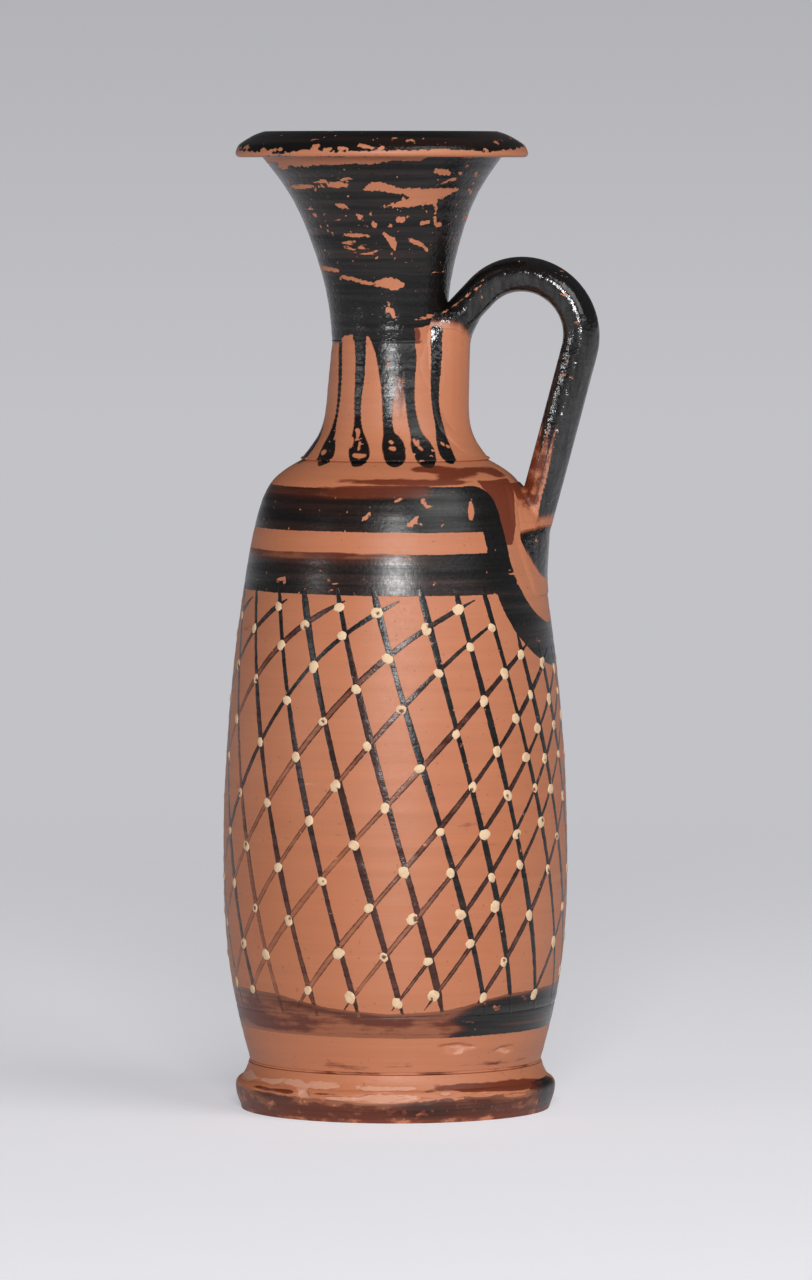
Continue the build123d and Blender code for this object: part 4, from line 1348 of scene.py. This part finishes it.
def strokes_mesh(name, paths, sizes, seed, share, hollow):
    """One mesh of all the strokes of a family; each path is (degrees, level) arrays.

    Share is how wide they are against the net's line width, hollow how thin slip lies in their middle."""
    rng = np.random.default_rng(seed)
    points, faces, uv = [], [], []
    fields = {"paint": [], "thin": [], "wear": [], "tone": []}
    count = 0
    for index, (degrees, level) in enumerate(paths):
        steps = len(level)
        place = np.linspace(0, 1, steps)
        swell = 1 + 0.16 * np.sin(2 * math.pi * (place * rng.uniform(1.5, 3) + rng.uniform(0, 1)))
        swell = swell * rng.uniform(0.85, 1.12)
        taper = np.clip(np.minimum(place / 0.03, (1 - place) / 0.06), 0.12, 1) ** 0.6
        half_width = share * sizes.line_width / MM / 2 * swell * taper
        grid, inside, angle, at = stroke_points(degrees, level, half_width, sizes)
        rows, columns = grid.shape[:2]
        corners = cell_corners(rows - 1, columns - 1)
        faces.append(np.stack([a * columns + b for a, b in corners], -1).reshape(-1, 4) + count)
        lane = (index + 0.1 + 0.8 * np.arange(columns) / (columns - 1)) / len(paths)
        uv.append(np.stack([np.stack([a / (rows - 1), lane[b]], -1) for a, b in corners], 2).reshape(-1, 2))
        count += rows * columns
        points.append(grid.reshape(-1, 3))
        load = rng.uniform(0.0, 0.45) + 0.35 * place - 0.25 * np.exp(-place / 0.2)
        lit_side = smooth_step(-1.9, -0.4, turn_between(np.radians(degrees), 0))
        thin = (load * (1.25 - 0.9 * lit_side))[:, None] * (1 - 0.35 * (inside < 0.2))
        thin = thin + hollow * (0.5 + 1.1 * place)[:, None] * smooth_step(0.1, 0.4, inside)
        wall = body_paint(turn_between(angle, 0), at, wall_radius(BODY_CURVE, at))
        under = wall["paint"] > inside
        fields["paint"].append(np.maximum(inside, wall["paint"]).ravel())
        fields["thin"].append(np.where(under, wall["thin"], np.clip(thin, 0, 0.85)).ravel())
        fields["wear"].append(np.where(under, wall["wear"], 0.1).ravel())
        fields["tone"].append(wall["tone"].ravel())
    fields = {key: np.concatenate(values) for key, values in fields.items()}
    mesh = unwrapped_mesh(name, np.vstack(points), np.vstack(faces).tolist(), np.vstack(uv), fields)
    mesh.shade_smooth()
    return mesh


def frame_edge(off_handle):
    """Level of the lower edge of the frame under the handle, so many degrees off the handle."""
    return NET_FRAME_TOP - NET_FRAME_DROP * np.sqrt(np.clip(1 - (off_handle / NET_FRAME_TURN) ** 2, 0, 1))


def net_paths():
    """Paths of the steep and the shallow strokes, as lists of (degrees, level)."""
    steep, shallow = [], []
    for start, slope in STEEP_STROKES:
        off_handle = abs((start + 180) % 360 - 180)
        top = NET_TOP + NET_OVERLAP if off_handle > NET_FRAME_TURN else frame_edge(off_handle)
        level = np.linspace(top, NET_BASE, 180)
        steep.append((start + slope * (NET_TOP - level), level))
    for start, share in SHALLOW_STROKES:
        drop = np.linspace(0, NET_TOP - NET_BASE - NET_SHORTFALL, 240)
        degrees = start - share * shallow_turn(drop)
        level = NET_TOP - drop
        off_handle = np.abs((degrees + 180) % 360 - 180)
        keep = (level < frame_edge(off_handle)) | (off_handle > NET_FRAME_TURN)
        count = len(keep) if keep.all() else int(np.argmin(keep[::-1]))
        kept = slice(len(keep) - count, None)
        shallow.append((degrees[kept], level[kept]))
    return steep, shallow


class LEKYTHOS_OT_net(bpy.types.Operator):
    """Paint the net: steep strokes one way, shallow strokes over them the other way"""

    bl_idname = "lekythos.net"
    bl_label = "Net strokes"

    def execute(self, context):
        sizes = context.scene.lekythos_sizes
        steep, shallow = net_paths()
        mesh = strokes_mesh("net_steep", steep, sizes, sizes.hand_seed + 1, *STEEP_STYLE)
        settle("net_steep_strokes", mesh, coat_of(BRUSH_STROKES), "black_gloss")
        mesh = strokes_mesh("net_shallow", shallow, sizes, sizes.hand_seed + 2, *SHALLOW_STYLE)
        settle("net_shallow_strokes", mesh, coat_of(BRUSH_STROKES), "black_gloss")
        return {"FINISHED"}


def net_crossings():
    """Where steep and shallow strokes cross, as (degrees, level)."""
    steep, shallow = net_paths()
    found = []
    for degrees, level in steep:
        for other, other_level in shallow:
            low = max(level.min(), other_level.min())
            high = min(level.max(), other_level.max())
            if high - low < 1:
                continue
            shared = np.linspace(low, high, 400)
            first = np.interp(shared, level[::-1], degrees[::-1])
            second = np.interp(shared, other_level[::-1], other[::-1])
            gap = (first - second + 180) % 360 - 180
            for k in np.where((gap[:-1] * gap[1:] < 0) & (np.abs(gap[:-1]) < 20))[0]:
                found.append((first[k], shared[k]))
    return found


class LEKYTHOS_OT_dots(bpy.types.Operator):
    """Dab a dot of white slip by each crossing of the net"""

    bl_idname = "lekythos.dots"
    bl_label = "White dots"

    def execute(self, context):
        sizes = context.scene.lekythos_sizes
        rng = np.random.default_rng(sizes.hand_seed + 3)
        spokes = 16
        rings = np.array([0.0, 0.3, 0.6, 0.82, 1.0, 1.08])
        rise = np.array([1.0, 0.97, 0.85, 0.6, 0.2, -0.25]) * sizes.dot_height / MM
        crossings = net_crossings()
        lanes = math.ceil(math.sqrt(len(crossings)))
        work = bmesh.new()
        uv = work.loops.layers.uv.new(UV_NAME)
        bare_layer = work.verts.layers.float.new("bare")
        for index, (degrees, level) in enumerate(crossings):
            cell = Vector((index % lanes + 0.5, index // lanes + 0.5)) / lanes
            centre_angle = math.radians(degrees)
            size = sizes.dot_width / MM / 2 * rng.uniform(0.82, 1.15)
            shift = rng.normal((-0.35, -0.45), 0.3)
            lobes = 1 + 0.1 * np.sin(np.arange(spokes) * 4 * math.pi / spokes + rng.uniform(0, 6))
            lobes = lobes + 0.06 * rng.normal(size=spokes)
            chipped = rng.uniform() < 0.4
            chip = rng.uniform(-0.55, 0.55, 2) * size
            chip_reach = rng.uniform(0.25, 0.5) * size
            verts = []
            for ring, lift in zip(rings, rise):
                for k in range(1 if ring == 0 else spokes):
                    turn = 2 * math.pi * k / spokes
                    reach = size * ring * lobes[k]
                    across = reach * math.cos(turn)
                    up = reach * math.sin(turn)
                    at = level + shift[1] + up
                    angle = centre_angle + (shift[0] + across) / float(wall_radius(BODY_CURVE, at))
                    wall = float(body_wall(np.array([angle]), np.array([at]), sizes)[0])
                    in_chip = chipped and math.hypot(across - chip[0], up - chip[1]) < chip_reach
                    bare = 0.9 if in_chip else 0.0
                    out = wall + lift - 0.7 * bare * sizes.dot_height / MM
                    spot = Vector((out * math.cos(angle), out * math.sin(angle), at)) * MM
                    vert = work.verts.new(spot)
                    vert[bare_layer] = bare
                    spoke = Vector((math.cos(turn), math.sin(turn)))
                    verts.append((vert, cell + 0.4 * float(ring) / lanes * spoke))
            for k in range(spokes):
                n = (k + 1) % spokes
                cells = [[verts[0], verts[1 + k], verts[1 + n]]]
                for r in range(len(rings) - 2):
                    a, b = 1 + r * spokes, 1 + (r + 1) * spokes
                    cells.append([verts[a + k], verts[b + k], verts[b + n], verts[a + n]])
                for corners in cells:
                    face = work.faces.new([vert for vert, spot in corners])
                    for loop, (vert, spot) in zip(face.loops, corners):
                        loop[uv].uv = spot
        mesh = bpy.data.meshes.new("dots")
        work.to_mesh(mesh)
        work.free()
        mesh.shade_smooth()
        settle("net_dots", mesh, white_slip("white_slip_matt"), "slip")
        return {"FINISHED"}


def lamp(name, azimuth, elevation, distance, width, height, power):
    """A soft lamp that stands round the flask and looks at a point on it."""
    light = bpy.data.lights.new(name, "AREA")
    light.shape = "RECTANGLE"
    light.size = width
    light.size_y = height
    light.energy = power
    holder = bpy.data.objects.new(name, light)
    a, e = math.radians(azimuth), math.radians(elevation)
    spot = Vector((math.sin(a) * math.cos(e), -math.cos(a) * math.cos(e), math.sin(e))) * distance
    holder.location = spot + Vector(LAMP_AIM)
    holder.rotation_euler = (-spot).to_track_quat("-Z", "Y").to_euler()
    bpy.context.scene.collection.objects.link(holder)


class LEKYTHOS_OT_stage(bpy.types.Operator):
    """Set the pale floor, the soft lamps, the grey backdrop and the camera"""

    bl_idname = "lekythos.stage"
    bl_label = "Stage"

    def execute(self, context):
        scene = context.scene
        colours = scene.lekythos_colours
        scene.view_settings.view_transform = "Standard"
        work = bmesh.new()
        bmesh.ops.create_circle(work, cap_ends=True, segments=128, radius=FLOOR_RADIUS)
        mesh = bpy.data.meshes.new("floor")
        work.to_mesh(mesh)
        work.free()
        floor = bpy.data.objects.new("floor", mesh)
        scene.collection.objects.link(floor)

        # Matt paper floor, whose far part fades into the backdrop
        paper = bpy.data.materials.new("matt_paper")
        tree = blank_tree(paper)
        place = add(tree, "TexCoord", {}, "Object")
        away = add(tree, "VectorMath", {0: place}, "Value", operation="LENGTH")
        fade = add(tree, "MapRange", {0: away, 1: FLOOR_FADE[0], 2: FLOOR_FADE[1], 3: 0.0, 4: 1.0},
                   interpolation_type="SMOOTHSTEP")
        sheet = add(tree, "BsdfDiffuse", {"Color": opaque(colours.floor)})
        seen = seen_directly(tree)
        glow = add(tree, "Math", {0: seen, 1: FLOOR_GLOW}, operation="MULTIPLY")
        paleness = add(tree, "Emission", {"Color": opaque(colours.backdrop), "Strength": glow})
        sheet = add(tree, "AddShader", {0: sheet, 1: paleness})
        clear = add(tree, "BsdfTransparent", {})
        mixed = add(tree, "MixShader", {0: fade, 1: sheet, 2: clear})
        add(tree, "OutputMaterial", {"Surface": mixed})
        mesh.materials.append(paper)

        # Grey backdrop all round, a little darker upwards
        world = bpy.data.worlds.new("backdrop")
        tree = blank_tree(world)
        direction = add(tree, "TexCoord", {}, "Generated")
        height = add(tree, "SeparateXYZ", {0: direction}, "Z")
        darker = add(tree, "MapRange", {0: height, 1: -0.03, 2: 0.025, 3: 1.0, 4: 0.82})
        dusk = add(tree, "MapRange", {0: height, 1: 0.03, 2: 0.14, 3: 1.0, 4: 0.15})
        darker = add(tree, "Math", {0: darker, 1: dusk}, operation="MULTIPLY")
        seen = seen_directly(tree)
        share = add(tree, "MapRange", {0: seen, 1: 0.0, 2: 1.0, 3: 0.75, 4: 1.0})
        darker = add(tree, "Math", {0: darker, 1: share}, operation="MULTIPLY")
        back = add(tree, "Background", {"Color": opaque(colours.backdrop), "Strength": darker})
        add(tree, "OutputWorld", {"Surface": back})
        scene.world = world

        for settings in LAMPS:
            lamp(*settings)

        camera = bpy.data.cameras.new("front_camera")
        camera.lens = CAMERA_LENS
        camera.sensor_width = CAMERA_SENSOR
        camera.clip_start = 0.05
        holder = bpy.data.objects.new("front_camera", camera)
        a = math.radians(CAMERA_AZIMUTH)
        spot = Vector((math.sin(a), -math.cos(a), 0)) * CAMERA_DISTANCE + Vector((0, 0, CAMERA_HEIGHT))
        aim = Vector((math.cos(a), math.sin(a), 0)) * AIM_RIGHT + Vector((0, 0, AIM_HEIGHT))
        holder.location = spot
        holder.rotation_euler = (aim - spot).to_track_quat("-Z", "Y").to_euler()
        scene.collection.objects.link(holder)
        scene.camera = holder
        return {"FINISHED"}


OPERATORS = [
    LEKYTHOS_OT_foot, LEKYTHOS_OT_body, LEKYTHOS_OT_neck, LEKYTHOS_OT_mouth, LEKYTHOS_OT_handle,
    LEKYTHOS_OT_net, LEKYTHOS_OT_dots, LEKYTHOS_OT_stage,
]


class LEKYTHOS_PT_panel(bpy.types.Panel):
    """Lists the pieces of the flask and what can be changed on them"""

    bl_idname = "LEKYTHOS_PT_panel"
    bl_label = "Lekythos"
    bl_space_type = "VIEW_3D"
    bl_region_type = "UI"
    bl_category = "Lekythos"

    def draw(self, context):
        for group in (context.scene.lekythos_sizes, context.scene.lekythos_colours):
            for name in group.__annotations__:
                self.layout.prop(group, name)
        for operator in OPERATORS:
            self.layout.operator(operator.bl_idname)


CLASSES = [LekythosSizes, LekythosColours, *OPERATORS, LEKYTHOS_PT_panel]


def register():
    for item in CLASSES:
        bpy.utils.register_class(item)
    bpy.types.Scene.lekythos_sizes = PointerProperty(type=LekythosSizes)
    bpy.types.Scene.lekythos_colours = PointerProperty(type=LekythosColours)


def unregister():
    del bpy.types.Scene.lekythos_colours
    del bpy.types.Scene.lekythos_sizes
    for item in reversed(CLASSES):
        bpy.utils.unregister_class(item)


def main():
    """Build every piece and the stage."""
    register()
    bpy.ops.lekythos.foot()
    bpy.ops.lekythos.body()
    bpy.ops.lekythos.neck()
    bpy.ops.lekythos.mouth()
    bpy.ops.lekythos.handle()
    bpy.ops.lekythos.net()
    bpy.ops.lekythos.dots()
    bpy.ops.lekythos.stage()


if __name__ == "__main__":
    main()
